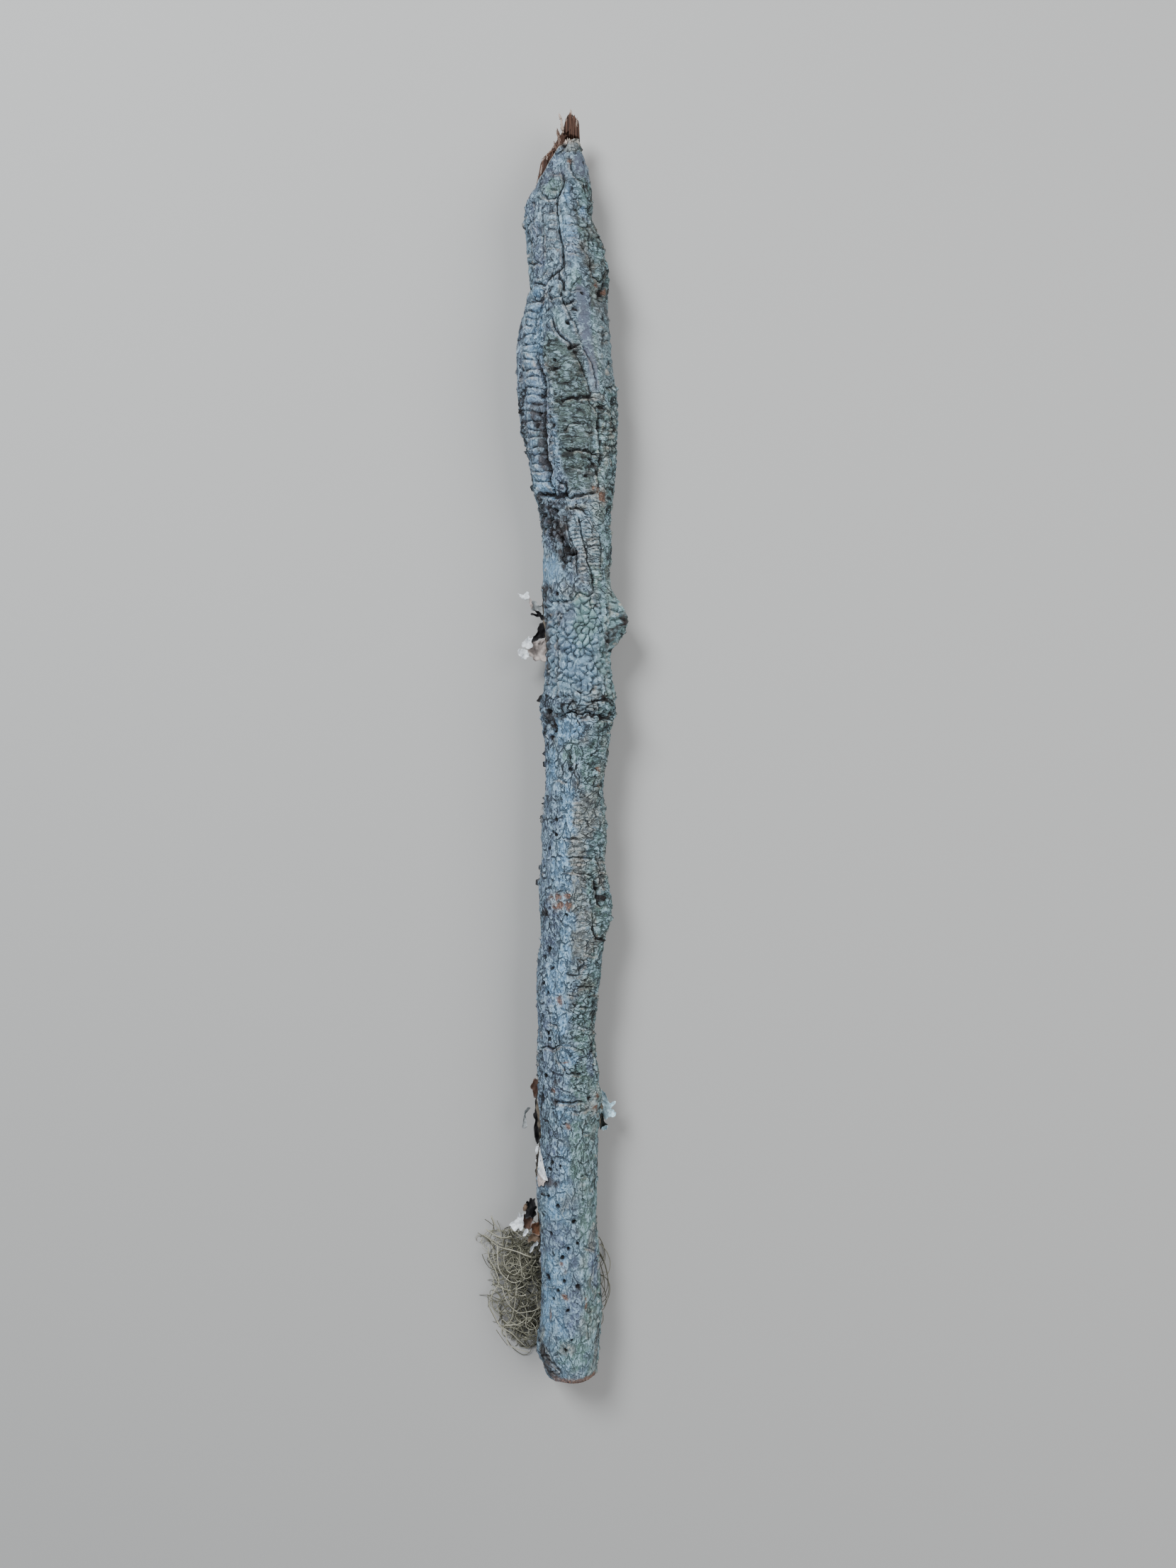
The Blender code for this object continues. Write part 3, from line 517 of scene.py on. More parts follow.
# Small dark holes: place, half size in mm
HOLES_SEEN = (
    (773, 1686, 0.6), (788, 1700, 0.8), (769, 1714, 0.75), (809, 1725, 0.85), (778, 1738, 0.6),
    (815, 1754, 0.7), (801, 1760, 0.6), (782, 1770, 0.7), (794, 1774, 0.95), (774, 1802, 1.1),
    (795, 1807, 0.9), (788, 1821, 0.7), (814, 1817, 0.9), (801, 1851, 0.7), (781, 1834, 0.6),
    (773, 1400, 0.7), (767, 1434, 0.8), (772, 1457, 0.7), (773, 1467, 0.7), (771, 1515, 0.9),
    (765, 1547, 0.95), (832, 1548, 0.7), (781, 1639, 0.8), (777, 1650, 0.8), (775, 1196, 0.7),
    (783, 1177, 0.7), (779, 1173, 0.6), (773, 1338, 0.9), (771, 1350, 0.8), (779, 1368, 0.7),
    (805, 1086, 0.8), (805, 1068, 0.6), (769, 1122, 1.1), (784, 1155, 0.7), (766, 1386, 0.6),
    (792, 1645, 0.5), (797, 1290, 0.5), (770, 1289, 0.6), (776, 1304, 0.6), (797, 1905, 0.6),
    (805, 1890, 0.5), (760, 1560, 0.6),
)
# Pits in rough brown bark: place, half width and half length in mm
PITS = (
    (768, 728, 1.0, 0.8), (778, 734, 0.9, 1.2), (785, 739, 1.0, 0.8), (792, 760, 1.3, 1.2),
    (799, 773, 1.2, 1.6), (806, 782, 2.0, 0.8), (773, 746, 0.8, 0.8), (784, 722, 1.3, 0.7),
    (765, 826, 1.4, 0.9), (769, 838, 1.2, 1.4), (776, 833, 1.1, 0.9), (785, 838, 0.9, 0.8),
    (763, 848, 1.0, 1.4), (773, 1005, 1.4, 1.0), (780, 1021, 1.0, 1.3), (769, 1033, 1.2, 1.3),
    (778, 1042, 1.0, 1.2), (771, 1018, 1.2, 0.9), (783, 1030, 0.8, 0.8), (803, 489, 1.3, 1.0),
    (812, 495, 0.9, 0.7), (782, 518, 1.0, 0.8), (780, 505, 0.8, 0.7), (848, 412, 1.5, 1.5),
    (853, 404, 1.2, 1.6), (845, 420, 0.9, 0.9), (850, 573, 1.4, 1.0), (838, 655, 1.1, 0.9),
    (833, 648, 0.8, 0.8), (843, 668, 0.9, 1.1), (827, 672, 0.9, 0.6), (802, 455, 0.9, 0.6),
    (826, 222, 0.7, 1.8), (798, 204, 0.8, 0.8), (762, 1064, 1.0, 0.8), (765, 1081, 1.0, 0.8),
    (862, 1005, 1.2, 0.8), (756, 1058, 0.8, 0.8), (822, 414, 0.8, 0.5), (811, 437, 0.9, 0.6),
    (757, 600, 0.8, 1.0), (759, 583, 0.7, 1.0), (763, 558, 0.6, 1.0), (781, 600, 0.7, 0.7),
    (778, 590, 0.7, 0.6), (822, 230, 0.7, 1.0), (849, 1323, 0.9, 0.8), (843, 1255, 0.7, 1.4),
    (766, 1300, 0.6, 0.6), (763, 1600, 0.5, 1.2),
)
# Lumps: place, half width, half length and height in mm
LUMPS = (
    (801, 420, 2.3, 2.3, 1.0), (785, 409, 2.9, 2.4, 1.0), (757, 412, 2.4, 2.0, 0.7),
    (757, 384, 1.6, 1.8, 0.5), (778, 362, 2.4, 1.4, 0.4), (779, 383, 2.6, 2.0, 0.5),
    (806, 393, 4.0, 2.6, 0.6), (847, 383, 2.6, 3.4, 0.9), (775, 258, 3.6, 3.0, 0.5),
    (779, 290, 3.0, 1.6, 0.35), (799, 290, 2.2, 4.0, 0.45), (778, 320, 3.2, 5.0, 0.4),
    (803, 330, 3.4, 5.0, 0.4), (817, 234, 2.8, 4.6, 0.4), (762, 350, 2.2, 3.0, 0.4),
    (845, 562, 2.2, 1.6, 1.1), (841, 560, 1.6, 1.4, 0.4), (792, 688, 3.2, 1.3, 0.7),
    (782, 697, 1.4, 1.6, 0.6), (755, 668, 2.6, 1.0, 0.5), (756, 680, 2.6, 1.0, 0.5),
    (757, 692, 2.2, 1.1, 0.5), (823, 994, 5.4, 0.9, 0.7), (856, 996, 2.4, 2.3, 0.9),
    (792, 995, 1.8, 1.4, 0.6), (782, 1000, 1.4, 1.4, 0.5), (816, 1015, 3.6, 0.8, 0.3),
    (822, 960, 4.0, 3.0, 0.4), (856, 1135, 1.4, 3.4, 0.9), (855, 1160, 1.2, 2.4, 0.6),
    (856, 1255, 1.3, 2.6, 0.9), (857, 1284, 1.3, 1.8, 1.1), (859, 1296, 1.3, 1.4, 1.2),
    (854, 1309, 1.3, 1.8, 0.8), (851, 1326, 1.0, 1.6, 0.5), (842, 1543, 1.6, 1.8, 0.5),
    (840, 1562, 2.2, 2.4, 0.7), (828, 1568, 2.4, 1.8, 0.3), (769, 1886, 2.0, 2.2, 0.7),
    (777, 1932, 2.0, 1.3, 0.6), (772, 1922, 1.6, 1.6, 0.5), (785, 1945, 1.8, 1.0, 0.5),
    (764, 1907, 1.1, 2.4, 0.4), (806, 734, 1.6, 2.0, 0.3), (837, 1250, 1.6, 3.4, 0.3),
    (778, 1275, 2.2, 1.6, 0.2), (836, 520, 2.0, 5.0, 0.2), (767, 470, 2.8, 5.4, 0.4),
)
# Orange chips where the crust has come off: place, half width and half length in mm
CHIPS = (
    (789, 1412, 1.3, 1.8), (783, 1268, 2.2, 1.8), (787, 1279, 2.3, 1.4), (799, 1264, 1.7, 1.2),
    (802, 1277, 1.2, 1.9), (781, 1538, 0.5, 1.3), (842, 1543, 1.1, 1.1), (840, 1561, 1.7, 1.3),
    (847, 1106, 0.6, 0.7), (792, 1784, 0.7, 0.9), (795, 1793, 0.8, 0.8), (797, 1829, 0.9, 0.7),
    (799, 1833, 0.8, 0.8), (776, 1855, 0.5, 2.0), (826, 1840, 0.5, 2.4), (801, 1590, 0.9, 0.9),
    (797, 1500, 1.4, 0.5), (843, 691, 1.4, 1.6), (850, 700, 1.8, 2.2), (770, 515, 0.8, 1.4),
    (846, 1085, 0.6, 1.0), (802, 226, 0.8, 0.7), (845, 1320, 0.5, 0.8), (853, 414, 1.2, 1.2),
    (842, 403, 0.9, 0.7),
)
# Dark torn burrs on the twig's edge: place, half width and half length in mm
BURRS = (
    (760, 1064, 1.6, 0.9), (757, 1078, 1.8, 1.4), (761, 1124, 1.6, 0.7), (757, 1130, 1.2, 0.6),
    (756, 1150, 1.0, 1.1), (755, 1223, 1.2, 1.5), (754, 1244, 1.2, 1.7), (848, 1268, 1.4, 1.6),
    (849, 1326, 1.6, 0.9), (738, 640, 1.4, 1.2), (744, 690, 1.6, 1.0), (737, 580, 1.2, 1.5),
    (851, 985, 1.4, 1.2), (764, 985, 1.4, 1.2), (768, 1682, 1.5, 1.2),
)
# Rungs across a strip of bark: the strip's left and right edges and the distance from one rung to the next in
# pixels, then the rungs' half width and depth and the height of the bark between them in mm
RUNGS = (
    (((746, 424), (740, 450), (735, 500), (741, 522), (740, 550), (741, 600), (745, 622), (749, 650),
      (755, 690)),
     ((762, 424), (758, 445), (753, 490), (757, 505), (762, 530), (767, 590), (768, 637), (772, 660),
      (776, 690)), 12.0, 0.34, 0.9, 0.55),
    (((801, 726), (803, 748), (808, 770), (813, 790), (816, 812)),
     ((815, 726), (819, 750), (824, 771), (828, 790), (832, 812)), 5.6, 0.2, 0.42, 0.24),
    (((819, 730), (823, 750), (828, 771), (832, 790), (838, 820)),
     ((828, 728), (838, 742), (846, 760), (849, 785), (850, 820)), 5.6, 0.2, 0.42, 0.24),
    (((805, 500), (812, 520), (818, 545)), ((816, 500), (823, 520), (829, 545)), 7.0, 0.18, 0.35, 0.2),
    (((770, 296), (771, 330), (770, 362)), ((787, 296), (791, 330), (791, 362)), 10.0, 0.2, 0.35, 0.3),
    (((794, 300), (795, 330), (797, 366)), ((811, 300), (816, 330), (822, 362)), 11.0, 0.2, 0.35, 0.3),
    (((765, 500), (770, 530), (773, 570), (775, 620), (778, 660)),
     ((775, 500), (783, 530), (786, 570), (788, 620), (794, 660)), 9.5, 0.22, 0.45, 0.4),
    (((847, 580), (848, 620), (851, 660)), ((863, 580), (865, 620), (864, 660)), 15.0, 0.25, 0.45, 0.4),
    (((842, 1212), (844, 1240), (848, 1262)), ((852, 1212), (855, 1240), (857, 1262)), 7.5, 0.2, 0.4, 0.25),
    (((800, 1186), (802, 1210), (800, 1228)), ((822, 1186), (824, 1210), (826, 1228)), 8.0, 0.2, 0.4, 0.25),
    (((812, 1290), (812, 1320)), ((828, 1290), (830, 1320)), 8.0, 0.2, 0.35, 0.22),
    (((806, 1130), (806, 1176)), ((822, 1130), (824, 1176)), 8.5, 0.2, 0.4, 0.25),
    (((838, 1400), (838, 1450), (836, 1500)), ((846, 1400), (846, 1450), (845, 1500)), 13.0, 0.25, 0.4, 0.3),
)
# Patches traced in pixels: what kind of bark, and its outline
PATCHES = (
    ("discs", ((746, 424), (762, 424), (758, 445), (755, 470), (753, 490), (757, 505), (762, 530), (766, 550),
               (767, 590), (768, 637), (772, 660), (775, 690), (760, 697), (752, 680), (747, 650), (742, 600),
               (738, 560), (735, 520), (735, 480), (739, 450))),
    ("panel", ((772, 466), (786, 474), (800, 490), (817, 497), (827, 530), (835, 552), (837, 600), (838, 650),
               (834, 690), (806, 692), (795, 668), (788, 640), (784, 600), (780, 560), (776, 530),
               (766, 500))),
    ("strip", ((814, 400), (826, 405), (832, 440), (836, 480), (842, 520), (846, 550), (836, 552), (828, 520),
               (820, 480), (813, 440))),
    ("slope", ((779, 436), (787, 434), (797, 446), (808, 466), (817, 482), (806, 484), (795, 470),
               (784, 456))),
    ("olive", ((838, 425), (858, 430), (862, 470), (868, 520), (868, 545), (850, 545), (843, 500),
               (838, 460))),
    ("neck", ((760, 704), (778, 704), (802, 710), (806, 730), (802, 750), (808, 772), (813, 788), (796, 803),
              (784, 784), (776, 764), (762, 754), (757, 730))),
    ("smooth", ((768, 786), (786, 788), (794, 800), (790, 818), (776, 826), (766, 812))),
    ("margin", ((734, 517), (741, 517), (740, 550), (741, 600), (746, 640), (750, 690), (740, 660),
                (733, 600))),
    ("plain", ((806, 221), (822, 212), (829, 235), (831, 258), (818, 250), (809, 240))),
)
# Tints, as ovals: kind, then pixel, half width and half length in mm
TINTS = (
    ("blue", ((797, 1215, 3, 12), (801, 1305, 2.6, 8), (798, 1145, 3.6, 11), (776, 1085, 3.2, 9),
              (790, 1440, 2.6, 9), (800, 1495, 4.2, 5), (777, 1808, 3.6, 12), (773, 1850, 3.2, 9),
              (776, 1700, 3, 8), (778, 803, 4, 6), (750, 470, 4, 16), (775, 1385, 2.6, 6), (812, 925, 5, 9),
              (800, 1030, 6, 6), (803, 330, 3, 7), (757, 412, 2.6, 2.4), (798, 270, 2, 4), (797, 1640, 3, 6),
              (783, 1230, 2.4, 7), (784, 620, 2, 9), (770, 690, 4, 5), (824, 300, 1.5, 3),
              (795, 1360, 2.5, 7), (788, 1560, 2, 5), (826, 958, 4, 4))),
    ("green", ((836, 1255, 2.8, 6), (833, 1085, 5, 9), (842, 815, 3, 5), (826, 880, 4.6, 9),
               (850, 1300, 3, 9), (822, 1450, 4.6, 12), (820, 1520, 4.6, 8), (828, 1725, 5, 9),
               (820, 1640, 5, 10), (845, 1835, 2.4, 6), (810, 1910, 6, 7), (826, 330, 3, 8), (812, 395, 3, 4),
               (756, 620, 2.4, 5), (815, 645, 5, 5), (812, 590, 5, 5), (832, 1850, 3, 9), (822, 845, 4, 3),
               (782, 262, 4, 4), (855, 490, 2.4, 8), (850, 600, 2.4, 8), (806, 1060, 4, 5), (818, 1600, 4, 6),
               (825, 1560, 3, 3))),
    ("lilac", ((775, 1310, 4.4, 14), (773, 1200, 3.2, 10), (756, 340, 3.4, 15), (764, 560, 2.4, 16),
               (747, 600, 3, 14), (785, 1160, 2.4, 6), (772, 1500, 3, 12), (782, 1640, 4, 13),
               (777, 1750, 4, 6), (838, 1780, 3, 12), (806, 350, 2.4, 4), (817, 234, 3, 4), (770, 975, 3, 6),
               (775, 760, 3, 5), (826, 450, 2.6, 14), (783, 1740, 5, 6), (834, 1500, 2, 6), (770, 1430, 3, 8),
               (786, 1530, 3, 6), (808, 1850, 3, 10))),
    ("beige", ((818, 1262, 3.4, 9), (816, 1205, 3.4, 8), (847, 1232, 1.8, 7), (824, 1330, 5, 7),
               (830, 1150, 6, 9), (848, 1400, 2, 9), (842, 560, 2.6, 2), (853, 700, 3, 3), (824, 350, 3, 3),
               (842, 700, 4, 3), (812, 715, 5, 1.6), (838, 1560, 4, 4), (836, 1745, 3, 5),
               (842, 1900, 2.4, 9), (764, 1890, 2, 5), (850, 960, 3, 3), (800, 1905, 3, 3), (803, 207, 4, 2),
               (815, 200, 3, 2), (856, 1150, 2, 7))),
    # Of the dark ovals, (770, 1288), (760, 590) and (765, 640) beside the long fissure, and (871, 886) and
    # (864, 897) under the side shoot's stub are painted shade; the rest are dark bark
    ("dark", ((762, 1062, 1.3, 1.3), (758, 1080, 1.5, 1.8), (768, 1124, 1.7, 0.9), (760, 1128, 1.3, 1.1),
              (757, 1221, 0.9, 2.2), (757, 1240, 0.8, 1.6), (770, 1922, 3.2, 3.4), (764, 1900, 2.0, 4.0),
              (780, 1938, 3, 2), (772, 1270, 1.6, 0.7), (770, 1288, 2.4, 1.6), (845, 1325, 2.0, 1.0),
              (847, 1268, 1.3, 2.2), (784, 1557, 1.4, 1.4), (776, 1668, 3.4, 2.0), (785, 1528, 1.2, 1.4),
              (764, 1905, 1.8, 3.0), (775, 1935, 3.0, 1.8), (850, 574, 2.0, 1.3), (803, 489, 2.4, 1.6),
              (847, 412, 2.6, 2.6), (760, 590, 2.4, 6.0), (765, 640, 1.6, 9.0), (776, 1015, 3.4, 5.0),
              (763, 850, 1.6, 6.0), (771, 832, 3.4, 1.8), (800, 778, 3.4, 1.6), (826, 668, 3.4, 1.6),
              (871, 886, 3.4, 2.6), (864, 897, 2.8, 3.2), (765, 700, 4.0, 1.5), (849, 1110, 1.2, 0.8),
              (811, 1090, 1.2, 1.0), (848, 1790, 0.7, 8.0), (849, 1735, 0.8, 5.0), (836, 655, 2.0, 2.6),
              (780, 518, 2.6, 2.6), (829, 268, 1.8, 2.4), (798, 205, 1.6, 1.6))),
)

CRUST = dict(
    mid=(0.150, 0.225, 0.285),
    grey=(0.095, 0.125, 0.165),
    blue=(0.180, 0.310, 0.460),
    lilac=(0.120, 0.150, 0.226),
    green=(0.130, 0.215, 0.190),
    beige=(0.200, 0.210, 0.188),
    dark=(0.058, 0.046, 0.044),
    pale=(0.50, 0.72, 0.88),
    # pale_beige: pale broken edges, and painted highlight beside cracks
    pale_beige=(0.56, 0.50, 0.42),
    pale_olive=(0.55, 0.60, 0.55),
    hollow=(0.022, 0.024, 0.028),
    crack=(0.010, 0.008, 0.008),
    orange=(0.28, 0.15, 0.10),
    bare=(0.14, 0.085, 0.065),
)
# What the mesh carries for the material: three tones, or two, to a colour attribute
TONES = {
    "marks": ("crack", "edge", "chip"),
    "tints": ("green", "lilac", "blue"),
    "grains": ("cross", "beige", "dark"),
    "covers": ("calm", "pale"),
}
HUES = ("blue", "green", "lilac", "beige")
# How much each kind of patch is smoother than the bark round it
CALM_SHARES = dict(strip=1.0, smooth=0.7, plain=1.0, slope=0.6, olive=0.5, discs=0.6, panel=0.3)
# What tones each kind of patch has, and how much. The margin's dark is painted shade along the twig's left
# edge.
KIND_TONES = (
    ("panel", "green", 1.0), ("panel", "dark", 0.5), ("strip", "lilac", 0.9), ("strip", "dark", 0.42),
    ("olive", "green", 0.9), ("olive", "beige", 0.35), ("plain", "lilac", 0.8), ("plain", "dark", 0.42),
    ("smooth", "blue", 0.7), ("smooth", "dark", 0.16), ("slope", "green", 0.5), ("margin", "dark", 0.55),
)
CRACK_TAPER = 1.6

# Fields over the bark's grid that several steps read
ROUGH_FINE = [noise(SPOT, 1.4, 500 + n) for n in range(6)]
ROUGH_WIDE = [noise(SPOT, 3.2, 520 + n) for n in range(3)]
RAGGED = 0.5 * noise(SPOT, 1.5, 530) + 0.4 * noise(SPOT, 0.8, 531)
BIG = rough(SPOT, (8, 12, 8), 5)
MID = rough(SPOT, (3.0, 4.6, 3.0), 6)
SMALL = rough(SPOT, (1.6, 2.2, 1.6), 7, octaves=2)
BROAD = rough(SPOT, (9, 16, 9), 9)
SPOTS = rough(SPOT, (4, 6, 4), 44)
ON_TOP = smooth(-0.2, 0.3, np.cos(np.radians(ANGLE)))
SIDE = np.sin(np.radians(ANGLE))
KINDS = {kind: inside(outline, 0.7) for kind, outline in PATCHES}
CALM = np.clip(sum(share * KINDS[kind] for kind, share in CALM_SHARES.items()), 0, 1)
BUSY = 1 - CALM
COLUMNS = zone(255, 289, -80, 84, soft=1.2, soft_angle=10)


class Relief:
    """The bark's height in mm over its base, and the tones that colour it."""

    def __init__(self):
        self.height = np.zeros(BASE.shape)
        self.tone = {name: np.zeros(BASE.shape) for names in TONES.values() for name in names}

    def add(self, name, amount):
        self.tone[name] = np.maximum(self.tone[name], amount)

    def fade_hues(self, amount, kept):
        """Takes a share of each hue away, but not of the one kept."""
        for hue in HUES:
            if hue != kept:
                self.tone[hue] *= 1 - amount

    def cut(self, profile, depth, dark=1.0):
        self.height -= depth * profile
        self.add("crack", dark * smooth(0.1, 0.7, profile))

    def split(self, line, width, depth, seed):
        """A crack along a line, with rounded shoulders and a pale broken edge. On its foot side, which faces
        the light, the pale band is also painted highlight.
        """
        gap, travelled, below, length = line_distance(line)
        ends = np.clip(np.minimum(travelled, length - travelled) / CRACK_TAPER, 0, 1) ** 0.6
        reach = width * (0.4 + 0.6 * ends) * (1 + 0.45 * ROUGH_FINE[seed % len(ROUGH_FINE)])
        profile = np.clip(1 - gap / np.maximum(reach, 0.1), 0, 1)
        self.cut(profile ** 0.6, depth * 0.75, min(1.0, 0.6 + 0.4 * depth))
        self.height -= 0.25 * depth * np.exp(-((gap / (width * 2.8)) ** 2)) * ends
        # Pale band: a broken edge, and painted highlight where the foot side's lip catches the light
        pale_edge_and_highlight = np.exp(-(((gap - width - 0.4) / 0.3) ** 2)) * ends * (0.3 + 0.7 * smooth(-0.3, 0.4, below))
        self.height += 0.16 * min(depth, 1.2) * pale_edge_and_highlight
        self.add("edge", pale_edge_and_highlight * (0.55 + 0.45 * ROUGH_FINE[(seed + 1) % len(ROUGH_FINE)]))

    def plates(
        self, where, length, count, seed, width, depth, dome=0.0, steps=0.2, tilt=0.0, jitter=0.75,
        square=3.0, dark=0.9,
    ):
        """Bark broken into plates of that length in mm, that many round the twig. The cracks between them
        have a half width and a depth. Each plate has its own height, within steps, and is domed or leans."""
        gap, number, rise = cells(where, length, count, seed, jitter, square)
        broken = smooth(-0.5, 0.1, ROUGH_WIDE[seed % 3])
        self.cut(np.clip(1 - gap / width, 0, 1) * where * broken, depth, dark)
        domed = dome * (smooth(0, 0.45 * length, gap) - 0.6)
        self.height += where * (domed + steps * (number - 0.5) + tilt * rise)

    def rungs(self, left, right, pitch, width, depth, dome, seed):
        """Creases across a strip, with the bark between them rounded like a stack of discs."""
        left, right = np.array(left, float), np.array(right, float)
        low, high = left[0, 1], left[-1, 1]
        for n in range(int((high - low) / pitch)):
            v = low + (n + 0.3 * hashed(n, seed, 1, 61)) * pitch
            near = np.interp(v, left[:, 1], left[:, 0])
            far = np.interp(v, right[:, 1], right[:, 0])
            tip = 2.0 * (hashed(n, seed, 2, 61) - 0.5)
            crease = traced(((near, v + tip), ((near + far) / 2, v - 1), (far, v - tip)))
            self.split(crease, width, depth, n + seed)
            half = (far - near) * 0.14
            self.height += dome * oval((near + far) / 2, v + pitch / 2, half * 1.25, pitch * 0.15) ** 0.6

    def layers(self):
        """The tones as the mesh carries them."""
        blank = np.zeros(BASE.shape)
        return {
            title: np.stack([*(self.tone[name] for name in names), blank][:3], axis=-1)
            for title, names in TONES.items()
        }


def roughen(relief):
    """Lumps of three sizes, torn along the twig's edges and lower on calm patches."""
    relief.height += 0.45 * BIG + 0.36 * MID + 0.13 * SMALL
    ragged = smooth(45, 75, SIGNED) * (1 - smooth(110, 130, SIGNED))
    ragged = ragged + 0.6 * smooth(-110, -80, SIGNED) * (SIGNED < -50)
    relief.height += 0.4 * ragged * noise(SPOT, (1.8, 1.8, 1.8), 10) * smooth(60, 110, WAVE_ALONG)
    sides = smooth(0.78, 0.93, np.abs(SIDE)) * smooth(-0.5, 0.1, rough(SPOT, (5, 8, 5), 48))
    torn = noise(SPOT, (1.7, 1.5, 1.7), 49) + 0.4 * ROUGH_FINE[3]
    relief.height += sides * (1.3 * np.clip(torn - 0.4, 0, 0.6) - 0.8 * np.clip(-0.3 - torn, 0, 0.5))
    relief.add("crack", 0.9 * sides * smooth(0.25, 0.5, -torn))
    relief.add("edge", 0.7 * sides * smooth(0.5, 0.7, torn))
    relief.height -= (0.30 * MID + 0.10 * SMALL) * np.maximum(CALM, 0.7 * KINDS["panel"])
    relief.add("calm", CALM)
    relief.add("calm", 0.35 * (1 - smooth(60, 90, WAVE_ALONG)) + 0.3 * smooth(376, 390, WAVE_ALONG))


def break_shaft(relief):
    """Leaning plates across the shaft's right half, and blocks with thin cracks between them lower down."""
    right = zone(106, 240, 3, 72, soft=5, soft_angle=5)
    right = right * (0.35 + 0.65 * smooth(-0.3, 0.1, rough(SPOT, (7, 11, 7), 14)))
    relief.plates(
        right, 2.3, count=21, seed=15, width=0.24, depth=0.5, dome=0.15, steps=0.5, tilt=0.6, square=4.5,
        dark=0.8,
    )
    thin = smooth(-0.3, 0.25, rough(SPOT, (8, 13, 8), 12)) * BUSY
    blocks = zone(60, 150, -90, 50, soft=6) * thin
    relief.plates(
        blocks, 6.4, count=15, seed=11, width=0.2, depth=0.4, steps=0.3, tilt=0.15, square=4.5, dark=0.8,
    )
    low_right = zone(8, 106, 20, 82, soft=6) * smooth(-0.2, 0.2, rough(SPOT, (7, 13, 7), 16))
    relief.plates(
        low_right, 3.6, count=26, seed=17, width=0.22, depth=0.4, dome=0.15, steps=0.35, tilt=0.2, square=4.5,
        dark=0.75,
    )
    left = zone(8, 236, -95, 2, soft=6) * smooth(-0.1, 0.35, rough(SPOT, (7, 12, 7), 18))
    relief.plates(
        left, 5.0, count=32, seed=19, width=0.18, depth=0.3, dome=0.12, steps=0.25, square=3.2, dark=0.7,
    )
    beneath = (1 - zone(-20, 470, -92, 92, soft_angle=10)) * smooth(-0.3, 0.2, rough(SPOT, (7, 12, 7), 20))
    relief.plates(
        beneath, 4.2, count=24, seed=22, width=0.32, depth=0.5, dome=0.3, steps=0.4, square=4, dark=0.85,
    )


def break_collar(relief):
    """Columns of small rounded plates above the collar, and lumps round it."""
    relief.plates(
        COLUMNS, 2.0, count=23, seed=21, width=0.28, depth=0.6, dome=1.05, steps=0.6, jitter=0.95,
        square=2.4, dark=0.8,
    )
    gap, number, _ = cells(COLUMNS, 2.0, 23, 21, 0.95, 2.4)
    worn = smooth(-0.5, 0.1, RAGGED + 0.6 * (number - 0.5))
    relief.add("pale", COLUMNS * smooth(0.12, 0.4, gap) * (0.3 + 0.7 * number) * (0.5 + 0.5 * worn))
    relief.height += 0.22 * COLUMNS * RAGGED
    relief.add("calm", 0.9 * COLUMNS)
    collar = zone(238, 254, -180, 180, soft=1.5, soft_angle=1)
    relief.plates(collar, 2.6, count=15, seed=23, width=0.28, depth=0.55, dome=0.5, steps=0.6, jitter=0.9)


def break_swelling(relief):
    """A panel with fine cracks across it, rough plates round it, and the neck's rough brown bark below."""
    panel = KINDS["panel"]
    across = np.abs(noise(SPOT + 0.8 * MID[..., None], (5.4, 1.3, 5.4), 25))
    relief.cut(np.clip(1 - across / 0.17, 0, 1) * panel * smooth(-0.5, 0, ROUGH_WIDE[0]), 0.4, 0.9)
    across = np.abs(noise(SPOT + 0.5 * MID[..., None], (3.4, 0.8, 3.4), 26))
    relief.cut(np.clip(1 - across / 0.15, 0, 1) * panel * smooth(0.2, -0.2, ROUGH_WIDE[1]), 0.25, 0.8)
    on_panel = panel * smooth(0, 0.3, BIG)
    relief.plates(
        on_panel, 3.2, count=16, seed=26, width=0.22, depth=0.4, dome=0.1, steps=0.3, tilt=0.3, square=4,
    )
    right = zone(328, 372, 46, 96, soft=3)
    relief.plates(
        right, 3.4, count=22, seed=27, width=0.26, depth=0.45, dome=0.25, steps=0.4, tilt=0.3, square=4,
    )
    margin = KINDS["margin"]
    relief.plates(margin, 1.9, count=42, seed=28, width=0.3, depth=0.6, dome=0.3, steps=0.7, jitter=0.9)
    upper = zone(384, 460, -120, 120, soft=4) * BUSY
    relief.plates(
        upper, 3.4, count=20, seed=29, width=0.24, depth=0.45, dome=0.3, steps=0.45, jitter=0.9, dark=0.8,
    )
    tip_right = zone(395, 440, 24, 95, soft=4) * BUSY
    relief.plates(
        tip_right, 2.4, count=28, seed=30, width=0.24, depth=0.4, dome=0.2, steps=0.5, tilt=0.3,
        jitter=0.9, dark=0.8,
    )
    knobbly = zone(376, 400, -75, 30, soft=3) * BUSY
    relief.plates(
        knobbly, 2.7, count=20, seed=31, width=0.3, depth=0.5, dome=0.6, steps=0.4, jitter=0.9,
        square=2.4, dark=0.8,
    )
    neck = KINDS["neck"] * (0.55 + 0.45 * smooth(-0.4, 0.3, SPOTS + 0.5 * RAGGED))
    relief.plates(KINDS["neck"], 1.9, count=36, seed=33, width=0.36, depth=0.7, dome=0.4, steps=0.8, jitter=1)
    relief.add("dark", 0.95 * neck)
    relief.add("dark", 0.6 * zone(392, 466, 22, 100, soft=4) * smooth(-0.5, 0.2, SPOTS + 0.5 * RAGGED))
    relief.add("dark", 0.35 * zone(438, 466, -60, 40, soft=4) * smooth(-0.3, 0.3, SPOTS + 0.5 * RAGGED))


